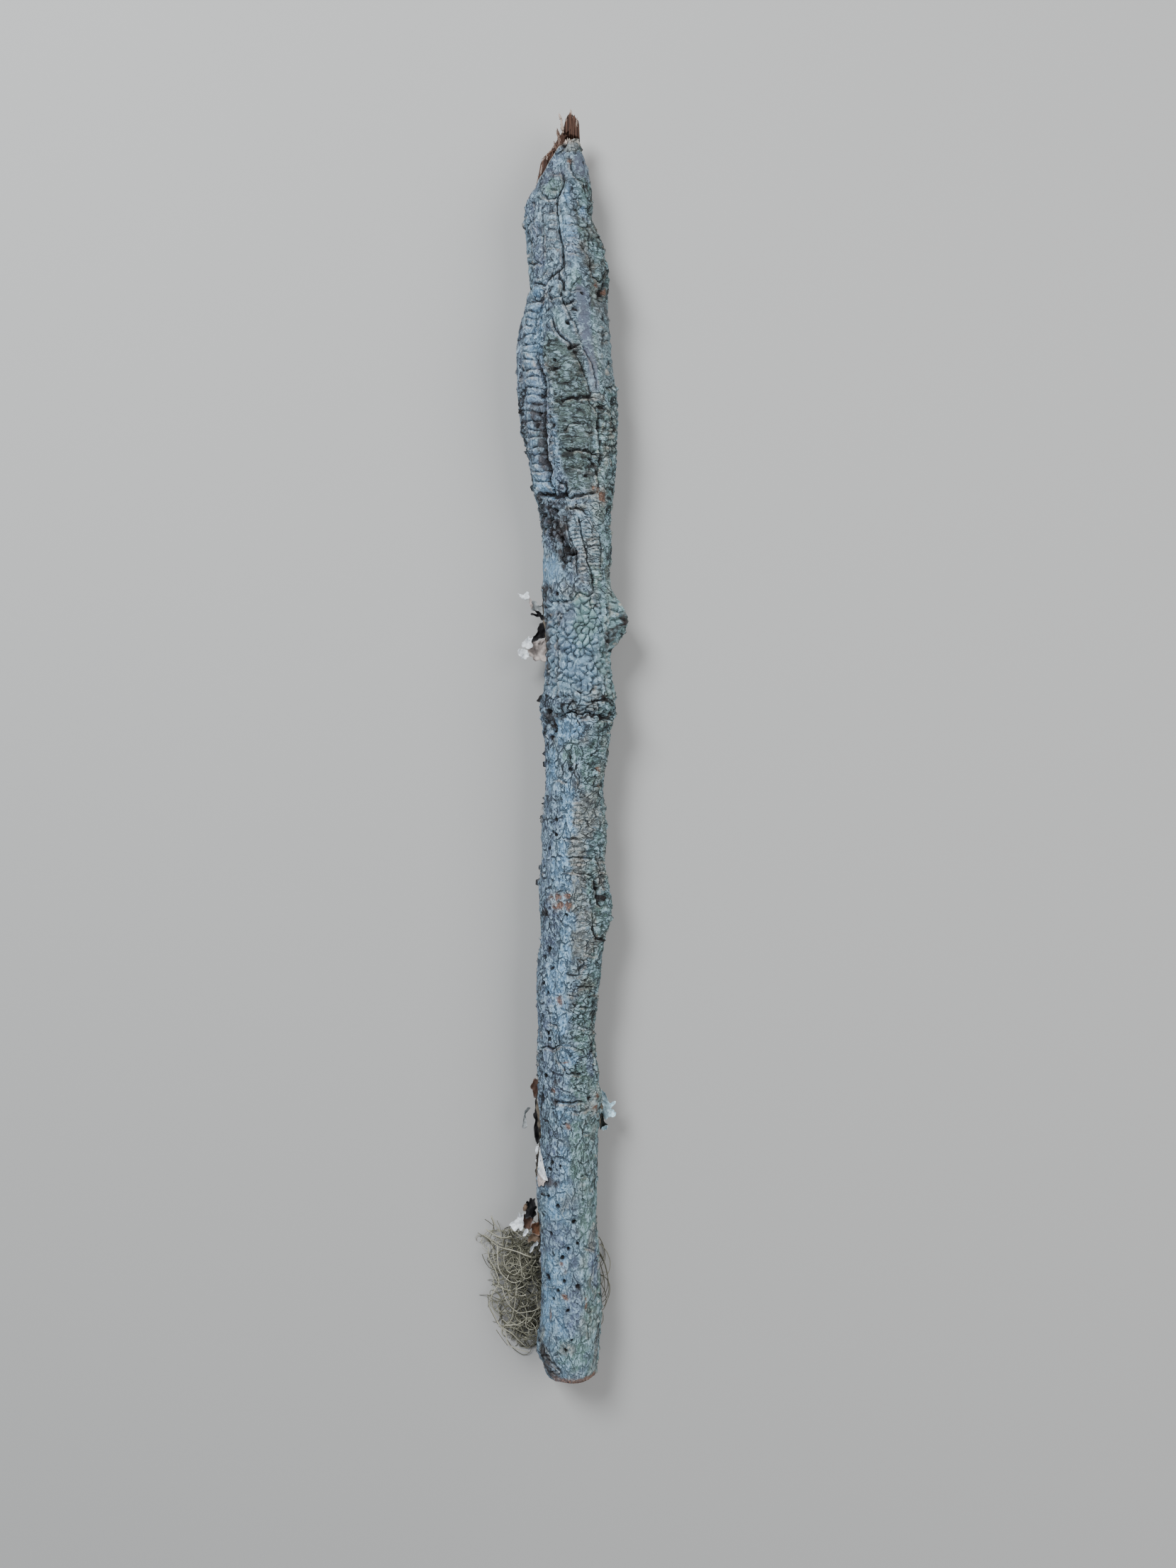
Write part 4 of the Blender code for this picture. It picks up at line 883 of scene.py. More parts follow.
def cut_traced(relief):
    """All that was traced: creases, lumps, cracks, pits, holes and chips."""
    for n, (left, right, pitch, width, depth, dome) in enumerate(RUNGS):
        relief.rungs(left, right, pitch, width, depth, dome, n)
    for u, v, width, length, height in LUMPS:
        relief.height += height * (oval(u, v, width, length) ** 0.7) * (1 + 0.25 * MID)
    for n, (width, depth, points) in enumerate(FISSURES):
        relief.split(traced(points), width, depth, n)
    for n, (u, v, width, length) in enumerate(PITS):
        ragged = 0.35 * ROUGH_FINE[n % len(ROUGH_FINE)]
        pit = np.clip(oval(u, v, width * 1.15, length * 1.15) * 1.6 + ragged, 0, 1)
        pit *= oval(u, v, width * 1.5, length * 1.5) > 0
        relief.cut(pit, 1.1)
        round_it = 2 * oval(u, v, width * 1.6, length * 1.6)
        relief.add("dark", 0.5 * np.clip(round_it + 0.6 * RAGGED - 0.3, 0, 1))
    for u, v, size in HOLES_SEEN:
        hole = oval(u, v, size * 1.15, size * 1.15)
        relief.cut(np.clip(hole * 2.2 + RAGGED, 0, 1) * smooth(0, 0.1, hole), 0.9)
        relief.add("dark", 0.35 * np.clip(2 * oval(u, v, size * 1.6, size * 1.6) + RAGGED - 0.3, 0, 1))
    for u, v, width, length in CHIPS:
        chip = oval(u, v, width * 1.25, length * 1.25)
        chip = smooth(0.42, 0.6, chip + 1.1 * RAGGED) * smooth(0, 0.15, chip)
        relief.height -= 0.3 * chip
        relief.tone["crack"] *= 1 - 0.8 * chip
        relief.add("chip", chip)
        rim = np.clip(2.5 * oval(u, v, width * 1.5, length * 1.5), 0, 1) - chip
        relief.add("edge", 0.45 * np.clip(rim, 0, 1))


def tint(relief):
    """Hues in bands by side of the twig, whose blue left of the top and green on the right are partly painted
    light and shade, then the traced ones, then those of each kind of patch, some dark ones painted shade.
    """
    on_shaft = 1 - smooth(236, 250, WAVE_ALONG)
    wander = 9 * BROAD + 5 * SPOTS
    relief.add("lilac", 0.8 * smooth(-0.2, 0.35, BROAD - 0.5 * SIDE - 0.3))
    # Brighter blue a little left of the top and darker green on the right: the crust's hue, and partly
    # painted light where the light falls and painted shade on the right
    relief.add("blue", on_shaft * np.exp(-(((SIGNED + 16 + wander) / 15) ** 2)) * smooth(-0.4, 0.1, BROAD))
    relief.add("green", 0.85 * smooth(18, 45, SIGNED + 1.5 * wander) * (1 - smooth(110, 140, SIGNED)))
    middle = smooth(-8, 26, SIGNED + 1.6 * wander) * (1 - smooth(45, 80, SIGNED)) * smooth(55, 75, WAVE_ALONG)
    relief.add("beige", on_shaft * middle * smooth(-0.3, 0.3, SPOTS + 0.3 * BROAD))
    relief.add("beige", 0.7 * smooth(0.1, 0.5, SPOTS + 0.2 * SIDE) * ON_TOP)
    right = smooth(-5, 20, SIGNED + wander) * (1 - smooth(100, 130, SIGNED))
    relief.add("cross", right * smooth(90, 115, WAVE_ALONG))
    relief.add("cross", KINDS["panel"])
    for kind, places in TINTS:
        for n, (u, v, width, length) in enumerate(places):
            spot = oval(u, v, width * 1.3, length * 1.3)
            spot = smooth(0.3, 0.6, spot + 0.6 * RAGGED + 0.3 * ROUGH_WIDE[n % 3]) * smooth(0, 0.15, spot)
            if kind != "dark":
                relief.fade_hues(0.8 * spot, kept=kind)
            relief.add(kind, spot * (0.85 if kind == "dark" else 1))
    for kind, tone, amount in KIND_TONES:
        relief.add(tone, amount * KINDS[kind])
        if tone != "dark":
            relief.fade_hues(0.6 * KINDS[kind], kept=tone)
    for tone, keep in (("lilac", 0.15), ("blue", 0.25), ("green", 0.8), ("beige", 0.3)):
        relief.tone[tone] *= 1 - (1 - keep) * COLUMNS
    relief.add("blue", 0.55 * KINDS["discs"] * zone(330, 372, -180, 180, soft=6, soft_angle=1))


def darken(relief):
    """Dark bark on the side shoot's stub and in torn burrs, and painted shade on the left edge above the
    collar and beneath.
    """
    relief.add("dark", np.clip(2.4 * oval(884, 875, 2.6, 2.6), 0, 1))
    # Painted shade where the left side turns under, above the collar
    painted_shade_left_edge = zone(254, 300, -112, -66, soft=4, soft_angle=7) * smooth(-0.35, 0.2, SPOTS)
    relief.add("dark", 0.9 * painted_shade_left_edge)
    # Painted shade: the bark is darker where it faces down
    relief.add("dark", 0.6 * ((1 - ON_TOP) * smooth(-0.1, 0.4, rough(SPOT, (9, 14, 9), 43))))
    for u, v, width, length in BURRS:
        burr = oval(u, v, width, length)
        burr = smooth(0.3, 0.6, burr + 1.3 * RAGGED) * smooth(0, 0.2, burr)
        relief.height += 1.1 * burr
        relief.add("dark", burr)
        relief.add("crack", 0.95 * burr)


def end_bark(relief):
    """The crust is gone from the cut foot's edge, and broken and pale at the tip's."""
    end = (1 - smooth(1.2, 2.4, ALONG + 0.6 * SPOTS + 0.3 * SMALL)) * zone(-9, 9, -30, 70, soft_angle=12)
    relief.height -= 0.3 * end
    relief.add("chip", end)
    left_over = bark_end(ANGLE) - ALONG
    rim = (1 - smooth(0.8, 2.0, left_over + 0.8 * SPOTS)) * smooth(-55, -25, SIGNED)
    relief.add("edge", rim)
    relief.add("beige", rim)
    relief.height += 0.5 * rim * noise(SPOT, 1.2, 46)


def bark_relief():
    relief = Relief()
    for step in (roughen, break_shaft, break_collar, break_swelling, cut_traced, tint, darken, end_bark):
        step(relief)
    return relief


def linked(name, data):
    """A new object of the scene."""
    made = bpy.data.objects.new(name, data)
    bpy.context.collection.objects.link(made)
    return made


def mesh_piece(name, places, quads, triangles, attributes):
    """A smooth mesh. Places are in mm, and each attribute is a colour for each place."""
    mesh = bpy.data.meshes.new(name)
    mesh.vertices.add(len(places))
    mesh.vertices.foreach_set("co", (places * MM).ravel())
    corners = np.concatenate([quads.ravel(), triangles.ravel()])
    mesh.loops.add(len(corners))
    mesh.loops.foreach_set("vertex_index", corners)
    sizes = np.concatenate([np.full(len(quads), 4), np.full(len(triangles), 3)])
    mesh.polygons.add(len(sizes))
    mesh.polygons.foreach_set("loop_start", np.concatenate([[0], np.cumsum(sizes)[:-1]]))
    mesh.polygons.foreach_set("use_smooth", np.ones(len(sizes), bool))
    mesh.update(calc_edges=True)
    for title, colours in attributes.items():
        layer = mesh.attributes.new(title, "FLOAT_COLOR", "POINT")
        layer.data.foreach_set("color", np.hstack([colours, np.ones((len(places), 1))]).ravel())
    return linked(name, mesh)


def grid_mesh(name, points, attributes):
    """A closed mesh from rings of points, with a fan at each end. Attributes have a value for each point."""
    rows, columns = points.shape[:2]
    ring = np.arange(columns)
    after = (ring + 1) % columns
    starts = (np.arange(rows - 1) * columns)[:, None]
    above = starts + columns
    quads = np.stack([starts + ring, starts + after, above + after, above + ring], axis=-1)
    foot, top = rows * columns, rows * columns + 1
    last = (rows - 1) * columns
    fans = np.vstack([
        np.stack([after, ring, np.full(columns, foot)], axis=1),
        np.stack([last + ring, last + after, np.full(columns, top)], axis=1),
    ])
    places = np.vstack([points.reshape(-1, 3), points[0].mean(axis=0), points[-1].mean(axis=0)])
    blank = np.zeros((2, 3))
    colours = {title: np.vstack([values.reshape(-1, 3), blank]) for title, values in attributes.items()}
    return mesh_piece(name, places, quads.reshape(-1, 4), fans, colours)


def apply_modifiers(piece):
    bpy.ops.object.select_all(action="DESELECT")
    bpy.context.view_layer.objects.active = piece
    piece.select_set(True)
    for modifier in list(piece.modifiers):
        bpy.ops.object.modifier_apply(modifier=modifier.name)


# How the bark turns in at the cut foot and at the tip: each ring's distance inwards and along, and how bare
FOOT_RINGS = ((0.35, -0.22, 0.6), (1.0, -0.1, 0.9), (1.8, 0.8, 0.9), (4.0, 5.0, 0))
TIP_RINGS = ((0.3, 0.25, 0.1), (0.9, 0.3, 0.3), (1.6, -0.4, 0.6), (2.2, -2.0, 0), (4.0, -6.0, 0))


def make_bark():
    relief = bark_relief()
    radius = BASE + relief.height
    points = surface_points(ALONG, ANGLE, radius)
    points[..., 2] = np.maximum(points[..., 2], 0.02)
    layers = relief.layers()

    def turned_in(row, inward, shift, bare):
        """One more ring at an end of the bark: its places, and its colours."""
        ring = surface_points(ALONG[row] + shift, ANGLE[row], np.maximum(radius[row] - inward, 1.0))
        colours = {title: layer[row] for title, layer in layers.items()}
        blank = np.zeros(len(ring))
        colours["marks"] = np.stack([blank, blank + (1 - bare), blank + bare], axis=-1)
        return ring, colours

    foot = [turned_in(0, *ring) for ring in reversed(FOOT_RINGS)]
    tip = [turned_in(-1, *ring) for ring in TIP_RINGS]
    rings = [ring for ring, _ in foot] + list(points) + [ring for ring, _ in tip]
    stacks = {}
    for title, layer in layers.items():
        stack = [colours[title] for _, colours in foot] + list(layer) + [colours[title] for _, colours in tip]
        stacks[title] = np.stack(stack)
    bark = grid_mesh("twig_bark", np.stack(rings), stacks)
    thin = bark.modifiers.new("thin", "DECIMATE")
    thin.ratio = BARK_FACES / (2 * len(bark.data.polygons))
    apply_modifiers(bark)
    return bark


# Materials

def new_material(name):
    made = bpy.data.materials.new(name)
    made.use_nodes = True
    return made, made.node_tree


def node(tree, kind, values=None, **settings):
    """A node with its settings, and values or links for its sockets."""
    made = tree.nodes.new(kind)
    for key, value in settings.items():
        setattr(made, key, value)
    for key, value in (values or {}).items():
        if isinstance(value, bpy.types.NodeSocket):
            tree.links.new(value, made.inputs[key])
        else:
            made.inputs[key].default_value = value
    return made


def math_node(tree, operation, a, b=0.5):
    return node(tree, "ShaderNodeMath", {0: a, 1: b}, operation=operation).outputs[0]


def remap(tree, value, low, high, out_low=0.0, out_high=1.0):
    values = {"Value": value, "From Min": low, "From Max": high, "To Min": out_low, "To Max": out_high}
    return node(tree, "ShaderNodeMapRange", values, interpolation_type="SMOOTHSTEP").outputs["Result"]


def mix(tree, factor, a, b):
    return node(tree, "ShaderNodeMix", {0: factor, 2: a, 3: b}).outputs[0]


def blend_colours(tree, factor, a, b):
    a, b = (colour if isinstance(colour, bpy.types.NodeSocket) else (*colour, 1) for colour in (a, b))
    return node(tree, "ShaderNodeMix", {0: factor, 6: a, 7: b}, data_type="RGBA").outputs[2]


def mapped(tree, vector, scale, shift=(0, 0, 0)):
    values = {"Vector": vector, "Scale": scale, "Location": shift}
    return node(tree, "ShaderNodeMapping", values).outputs[0]


def noise_texture(tree, vector, scale, detail, roughness=0.6):
    values = {"Vector": vector, "Scale": scale, "Detail": detail, "Roughness": roughness}
    return node(tree, "ShaderNodeTexNoise", values).outputs


def object_place(tree):
    return node(tree, "ShaderNodeTexCoord").outputs["Object"]


def mesh_colour(tree, name):
    return node(tree, "ShaderNodeAttribute", attribute_name=name).outputs["Color"]


def channels(tree, colour):
    return node(tree, "ShaderNodeSeparateColor", {"Color": colour}).outputs


def finish_material(tree, colour, roughness, specular, height, strength, distance):
    """Gives a material its colour and shine, and its fine relief as a bump of that distance in metres."""
    shader = tree.nodes["Principled BSDF"]
    tree.links.new(colour, shader.inputs["Base Color"])
    shader.inputs["Roughness"].default_value = roughness
    shader.inputs["Specular IOR Level"].default_value = specular
    bump = node(tree, "ShaderNodeBump", {"Height": height, "Strength": strength, "Distance": distance})
    tree.links.new(bump.outputs[0], shader.inputs["Normal"])


def bark_material():
    made, tree = new_material("lichen-crusted bark")

    def tones(name):
        return channels(tree, mesh_colour(tree, name))

    def grain(vector, size, detail):
        """Noise whose lumps are about that size in mm."""
        return noise_texture(tree, vector, 1000 / size, detail)

    def times(a, b):
        return math_node(tree, "MULTIPLY", a, b)

    def worms(size, width, offset):
        """Thin winding lines, along the twig or across it."""
        found = []
        for scale in ((1, 0.42, 1), (0.5, 1.1, 0.5)):
            value = grain(mapped(tree, where, scale, offset), size, 2)[0]
            away = math_node(tree, "ABSOLUTE", math_node(tree, "SUBTRACT", value, 0.5))
            found.append(remap(tree, away, width * 0.3, width, 1, 0))
        return mix(tree, cross, *found)

    def plates(size, long_scale, cross_scale):
        """The distance to the nearest crack between small plates, and a number for each plate."""
        found = []
        for scale in (long_scale, cross_scale):
            values = {"Vector": mapped(tree, bent, scale), "Scale": 1000 / size, "Randomness": 0.9}
            gap = node(tree, "ShaderNodeTexVoronoi", values, feature="DISTANCE_TO_EDGE").outputs["Distance"]
            colour = node(tree, "ShaderNodeTexVoronoi", values).outputs["Color"]
            found.append((gap, channels(tree, colour)[0]))
        return [mix(tree, cross, along, across) for along, across in zip(*found)]

    where = object_place(tree)
    crack, edge, chip = tones("marks")[:3]
    green, lilac, blue = tones("tints")[:3]
    cross, beige, dark = tones("grains")[:3]
    calm, bright = tones("covers")[:2]
    push = {0: grain(where, 1.9, 2)[1], 1: (0.0017, 0.0017, 0.0017), 2: where}
    bent = node(tree, "ShaderNodeVectorMath", push, operation="MULTIPLY_ADD").outputs[0]
    patches = grain(where, 6.0, 4)[0]
    mottle = grain(where, 2.6, 4)[0]
    specks = grain(where, 0.8, 3)[0]
    long_flecks = grain(mapped(tree, bent, (1, 0.5, 1)), 0.85, 3)[0]
    cross_flecks = grain(mapped(tree, bent, (0.55, 1.2, 0.55)), 0.85, 3)[0]
    flecks = mix(tree, cross, long_flecks, cross_flecks)
    busy = math_node(tree, "SUBTRACT", 1.0, times(calm, 0.85))
    shown = times(remap(tree, grain(where, 4.2, 3)[0], 0.38, 0.52), busy)
    gap, plate = plates(3.0, (1, 0.45, 1), (0.62, 1.2, 0.62))
    groove = times(remap(tree, gap, 0.02, 0.07, 1, 0), shown)
    lip = times(remap(tree, gap, 0.05, 0.09), remap(tree, gap, 0.1, 0.19, 1, 0))
    dark_worms = times(worms(1.7, 0.085, (0.001, 0, 0)), remap(tree, mottle, 0.44, 0.56))
    pale_worms = times(worms(1.9, 0.1, (0.013, 0.002, 0)), remap(tree, mottle, 0.56, 0.46))

    colour = blend_colours(tree, remap(tree, patches, 0.4, 0.6), CRUST["grey"], CRUST["mid"])
    beiges = times(beige, remap(tree, mottle, 0.4, 0.6, 0.1, 0.8))
    for amount, name, share in (
        (green, "green", 0.8), (lilac, "lilac", 0.75), (blue, "blue", 0.85), (beiges, "beige", 0.7),
    ):
        colour = blend_colours(tree, times(amount, share), colour, CRUST[name])
    value = times(plate, 0.4)
    for share in (
        times(remap(tree, flecks, 0.32, 0.68), times(busy, 0.7)), times(bright, 0.62), times(calm, 0.2),
        times(remap(tree, mottle, 0.35, 0.65), 0.3), 0.4,
    ):
        value = math_node(tree, "ADD", value, share)
    richer = {"Color": colour, "Value": value, "Saturation": 1.08}
    colour = node(tree, "ShaderNodeHueSaturation", richer).outputs[0]
    pale = blend_colours(tree, beige, CRUST["pale"], CRUST["pale_olive"])
    lips = math_node(tree, "MAXIMUM", times(lip, shown), times(pale_worms, 0.9))
    colour = blend_colours(tree, times(lips, 0.45), colour, pale)
    flecked = times(remap(tree, flecks, 0.58, 0.7), busy)
    colour = blend_colours(tree, times(flecked, 0.5), colour, pale)
    # Pale broken and torn edges, and painted highlight on the foot side of cracks
    worn = times(edge, remap(tree, mottle, 0.3, 0.6, 0.2, 0.9))
    colour = blend_colours(tree, worn, colour, CRUST["pale_beige"])
    darkened = times(dark, remap(tree, mottle, 0.35, 0.6, 0.6, 1.0))
    colour = blend_colours(tree, darkened, colour, CRUST["dark"])
    grooves = math_node(tree, "MAXIMUM", groove, times(times(dark_worms, 0.75), busy))
    grooves = math_node(tree, "MAXIMUM", grooves, times(times(remap(tree, flecks, 0.38, 0.3), 0.7), busy))
    colour = blend_colours(tree, times(grooves, 0.8), colour, CRUST["hollow"])
    bare = blend_colours(tree, remap(tree, specks, 0.4, 0.6), CRUST["bare"], CRUST["orange"])
    colour = blend_colours(tree, times(chip, 0.85), colour, bare)
    colour = blend_colours(tree, times(crack, 0.95), colour, CRUST["crack"])
    height = times(lips, 0.5)
    for share in (times(specks, 0.4), times(flecks, busy), times(plate, 0.5)):
        height = math_node(tree, "ADD", height, share)
    height = math_node(tree, "SUBTRACT", height, grooves)
    finish_material(tree, colour, 0.85, 0.3, height, 1.0, 0.0005)
    return made


def dress(piece, material, slot, *nodes):
    """Gives a piece its material and body, and hides the nodes of the frame whose place it takes. The slot is
    not used.
    """
    piece.data.materials.clear()
    piece.data.materials.append(material)
    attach(piece, BODY)
    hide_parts(*nodes)


def make_floor():
    bpy.ops.mesh.primitive_plane_add(size=6, location=(0, 0, 0))
    floor = bpy.context.object
    floor.name = "floor"
    made, tree = new_material("pale floor")
    shader = tree.nodes["Principled BSDF"]
    shader.inputs["Base Color"].default_value = (0.42, 0.42, 0.415, 1)
    shader.inputs["Roughness"].default_value = 0.9
    floor.data.materials.append(made)


def make_light(name, place, size, power, colour):
    """A square light that shines at the object."""
    data = bpy.data.lights.new(name, "AREA")
    data.size = size
    data.energy = power
    data.color = colour
    light = linked(name, data)
    light.location = place
    light.rotation_euler = (-Vector(place)).to_track_quat("-Z", "Y").to_euler()


def make_studio():
    world = bpy.data.worlds.new("soft daylight")
    bpy.context.scene.world = world
    world.use_nodes = True
    back = world.node_tree.nodes["Background"]
    back.inputs["Color"].default_value = (0.93, 0.96, 1.0, 1)
    back.inputs["Strength"].default_value = 0.34
    make_light("window", (-0.45, 0.6, 0.85), 0.4, 15.5, (0.95, 0.98, 1))
    make_light("fill", (0.75, 0.1, 0.8), 0.8, 9, (1, 0.99, 0.98))


def make_camera():
    data = bpy.data.cameras.new("camera")
    data.lens = LENS
    data.sensor_width = SENSOR
    data.clip_start = 0.01
    camera = linked("camera", data)
    camera.location = metres(*CAMERA_PLACE)
    bpy.context.scene.camera = camera


# The broken wood at the tip, and the cut face at the foot

WOOD_COLUMNS, WOOD_ROWS = 150, 110
SLAB_ROWS = 44
SPLINTER_ROWS = 14
SPLINTER_SECTION = ((-1, 0.1), (-0.5, 0.9), (0.15, 1), (0.75, 0.7), (1, -0.2), (0.2, -1), (-0.7, -0.8))
FOOT_COLUMNS = 120
# Slabs of torn wood: the line in pixels where each starts under the bark, the line where it ends, its height
# in mm at places across, its thickness, and how far it dips at its start
SLABS = (
    dict(
        start=((757, 277), (768, 271), (776, 257), (783, 240), (789, 216), (797, 206)),
        end=((757, 258), (760, 246), (762, 232), (765, 224), (770, 219), (776, 211), (782, 205), (787, 197),
             (792, 188), (797, 181)),
        level=((757, 14.6), (765, 17.6), (775, 18.6), (785, 17.8), (797, 16.8)), thick=3.4, sink=0.0,
    ),
    dict(
        start=((791.5, 205), (818, 204)),
        end=((791.5, 197), (793, 186), (795, 181), (797, 172), (799, 165), (801, 163), (803, 158), (805, 156),
             (806.5, 160), (808, 163), (811, 164), (813, 168), (815.5, 170), (817, 174), (817.5, 184),
             (818, 195)),
        level=((791.5, 15), (800, 16.6), (806, 16.8), (812, 16.4), (818, 15)), thick=4.4, sink=2.2,
    ),
    dict(
        start=((778, 232), (784, 222), (792, 212)), end=((778, 214), (784, 208), (788, 203), (792, 197)),
        level=((778, 19.4), (785, 18.6), (792, 17.6)), thick=1.6, sink=0.8,
    ),
    dict(
        start=((798, 196), (808, 196)), end=((798, 170), (802, 163), (805, 156), (808, 166)),
        level=((798, 17.4), (808, 17.4)), thick=1.2, sink=2.6,
    ),
)
# Thin splinters, traced in pixels with heights: foot, tip, width, thickness, and how pale
SPLINTERS = (
    ((795, 188, 16.2), (792.5, 172, 16.6), 0.8, 0.5, 0.7),
    ((793, 174, 16.6), (790.3, 161.5, 16.2), 0.7, 0.4, 1.0),
    ((791, 166, 16.4), (788.5, 160, 16.0), 0.5, 0.4, 1.0),
    ((789.5, 192, 16.8), (785.4, 180.5, 17.4), 0.8, 0.5, 0.1),
    ((782, 211, 19.2), (763.5, 225, 18.6), 0.5, 0.4, 0.0),
    ((763, 246, 17.6), (764.5, 232, 18.4), 0.6, 0.4, 0.8),
    ((758.5, 262, 15.4), (759, 247, 16.4), 0.6, 0.4, 0.4),
    ((804, 186, 15.2), (805, 154.5, 17.0), 2.0, 0.9, 0.0),
    ((794, 184, 16.6), (790.5, 166, 17.2), 1.2, 0.6, 1.0),
    ((791, 168, 17.2), (788.3, 159.5, 16.8), 0.8, 0.5, 1.0),
    ((809.5, 188, 15.0), (810.5, 162, 16.6), 1.5, 0.8, 0.0),
    ((805.3, 162, 16.6), (805, 153.5, 17.2), 0.9, 0.5, 1.0),
    ((790, 206, 17.6), (785, 183, 18.2), 1.0, 0.6, 0.2), ((786, 214, 18.4), (781, 199, 18.6), 0.9, 0.6, 0.1),
    ((790, 200, 17.2), (787.5, 190, 17.6), 0.8, 0.5, 0.9),
    ((812, 182, 15.2), (814.5, 165.5, 16.2), 1.0, 0.5, 0.5),
    ((772, 226, 19.0), (771, 217, 19.0), 0.6, 0.4, 0.5),
)


def wood_radius(along, angle):
    """The wood's size: a little under the frame's surface past the bark, and further under it before."""
    shown = resampled(TABLE_RADIUS, along, angle)
    past = smooth(-3.0, 1.5, along - bark_end(angle))
    return (shown - 0.6) * past + np.maximum(shown - 2.4, 0.6) * (1 - past)


def make_wood_core():
    """Torn fibres that run along the twig under the bark's broken end."""
    angles = np.linspace(-180, 180, WOOD_COLUMNS, endpoint=False)
    bundle = hashed(np.arange(WOOD_COLUMNS) // 3, 1, 2, 72)
    ends = WOOD_END - 4.0 - 3.2 * np.abs(noise(noise_ring(angles, 5), 1.5, 71)) - 2.0 * (bundle - 0.5)
    t = np.linspace(0, 1, WOOD_ROWS)[:, None]
    along = WOOD_START + t * (ends - WOOD_START)
    angle = np.repeat(angles[None, :], WOOD_ROWS, axis=0)
    radius = wood_radius(along, angle)
    spot = surface_points(along, angle, radius)
    fibre = noise(spot, (0.9, 16, 0.9), 73)
    deep = np.clip(0.25 - np.abs(noise(spot, (1.7, 12, 1.7), 74)), 0, 1) * 4
    torn = np.round(2.2 * noise(spot, (2.4, 5, 2.4), 75)) / 2.2
    shown = smooth(-2, 3, along - bark_end(angle))
    radius = np.maximum(radius + shown * (0.35 * fibre - 0.8 * deep + 0.5 * torn), 0.4)
    points = surface_points(along, angle, radius)
    inner = surface_points(along[-1:] - 2.5, angle[-1:], np.maximum(radius[-1:] * 0.4, 0.3))
    marks = np.stack([np.clip(deep, 0, 1), 0.5 + 0.5 * fibre, smooth(0.9, 1, t) + 0 * angle], axis=-1)
    points, marks = np.vstack([points, inner]), np.vstack([marks, marks[-1:]])
    return grid_mesh("broken_wood", points, {"fibres": marks})


def make_slab(start, end, level, thick, sink, seed):
    """A slab of torn wood, in bundles of fibres that each have their own height and end."""
    left, right = end[0][0], end[-1][0]
    count = int((right - left) * 1.15) + 1
    fibre = np.arange(count)
    us = np.linspace(left, right, count)
    sizes = (2 + 3 * hashed(fibre, 0, 0, 600 + seed)).astype(int)
    bundle = np.searchsorted(np.cumsum(sizes), fibre, side="right")
    reach, rise, hue = (hashed(bundle, k, 1, 610 + seed) - 0.5 for k in range(3))
    starts = np.interp(us, *zip(*start))
    ends = np.interp(us, *zip(*end)) + 1.8 * (reach + 0.1) + 0.8 * (hashed(fibre, 5, 5, seed) - 0.5)
    heights = np.interp(us, *zip(*level)) + 1.0 * rise + 0.25 * (hashed(fibre, 6, 6, seed) - 0.5)
    split = bundle != np.roll(bundle, 1)
    split[0] = False
    heights -= 0.7 * split
    t = np.linspace(0, 1, SLAB_ROWS)[:, None]
    v = starts + t * (ends - starts)
    edge = 0.9 * (np.abs(2 * fibre / (count - 1) - 1) ** 6)
    spot = np.stack(np.broadcast_arrays(us[None, :] * PIXEL_ON_TWIG, v * PIXEL_ON_TWIG, 0.0), axis=-1)
    wave = noise(spot, (1.2, 7, 1), 620 + seed)
    front = heights - edge - sink * (1 - smooth(0.14, 0.36, t)) + 0.3 * wave - 0.25 * thick * t**3
    front = front + 0.15 * noise(spot, (0.6, 3, 1), 630 + seed)
    thinner = thick * (0.25 + 0.75 * (1 - t**3)) * (1 - 0.5 * edge)
    back = front - thinner - 0.3 * np.abs(noise(spot, (1.0, 6, 1), 640 + seed))
    faces = [np.stack([*pixel_place(us[None, :] + 0 * v, v, side), side], axis=-1) for side in (front, back)]
    points = np.concatenate([faces[0], faces[1][:, ::-1]], axis=1)
    deep = np.where(split, 1.0, 0.0) + 0 * v
    tip = smooth(0.93, 1, t) * (0.1 + 0.6 * (reach + 0.5)) + 0 * v
    marks = np.stack([deep, 0.5 + hue + 0.3 * wave, np.clip(tip, 0, 1)], axis=-1)
    return grid_mesh("wood_slab", points, {"fibres": np.concatenate([marks, marks[:, ::-1]], axis=1)})


def make_tip_wood():
    core = make_wood_core()
    slabs = [make_slab(**slab, seed=n) for n, slab in enumerate(SLABS)]
    bpy.ops.object.select_all(action="DESELECT")
    for piece in [core] + slabs:
        piece.select_set(True)
    bpy.context.view_layer.objects.active = core
    bpy.ops.object.join()
    bm = bmesh.new()
    bm.from_mesh(core.data)
    layer = bm.verts.layers.float_color["fibres"]
    for n, (foot, tip, width, thick, pale) in enumerate(SPLINTERS):
        places = [(*pixel_place(*place), place[2]) for place in (foot, tip)]
        add_splinter(bm, layer, *places, width, thick, pale, n)
    bm.to_mesh(core.data)
    bm.free()
    core.data.shade_smooth()
    return core


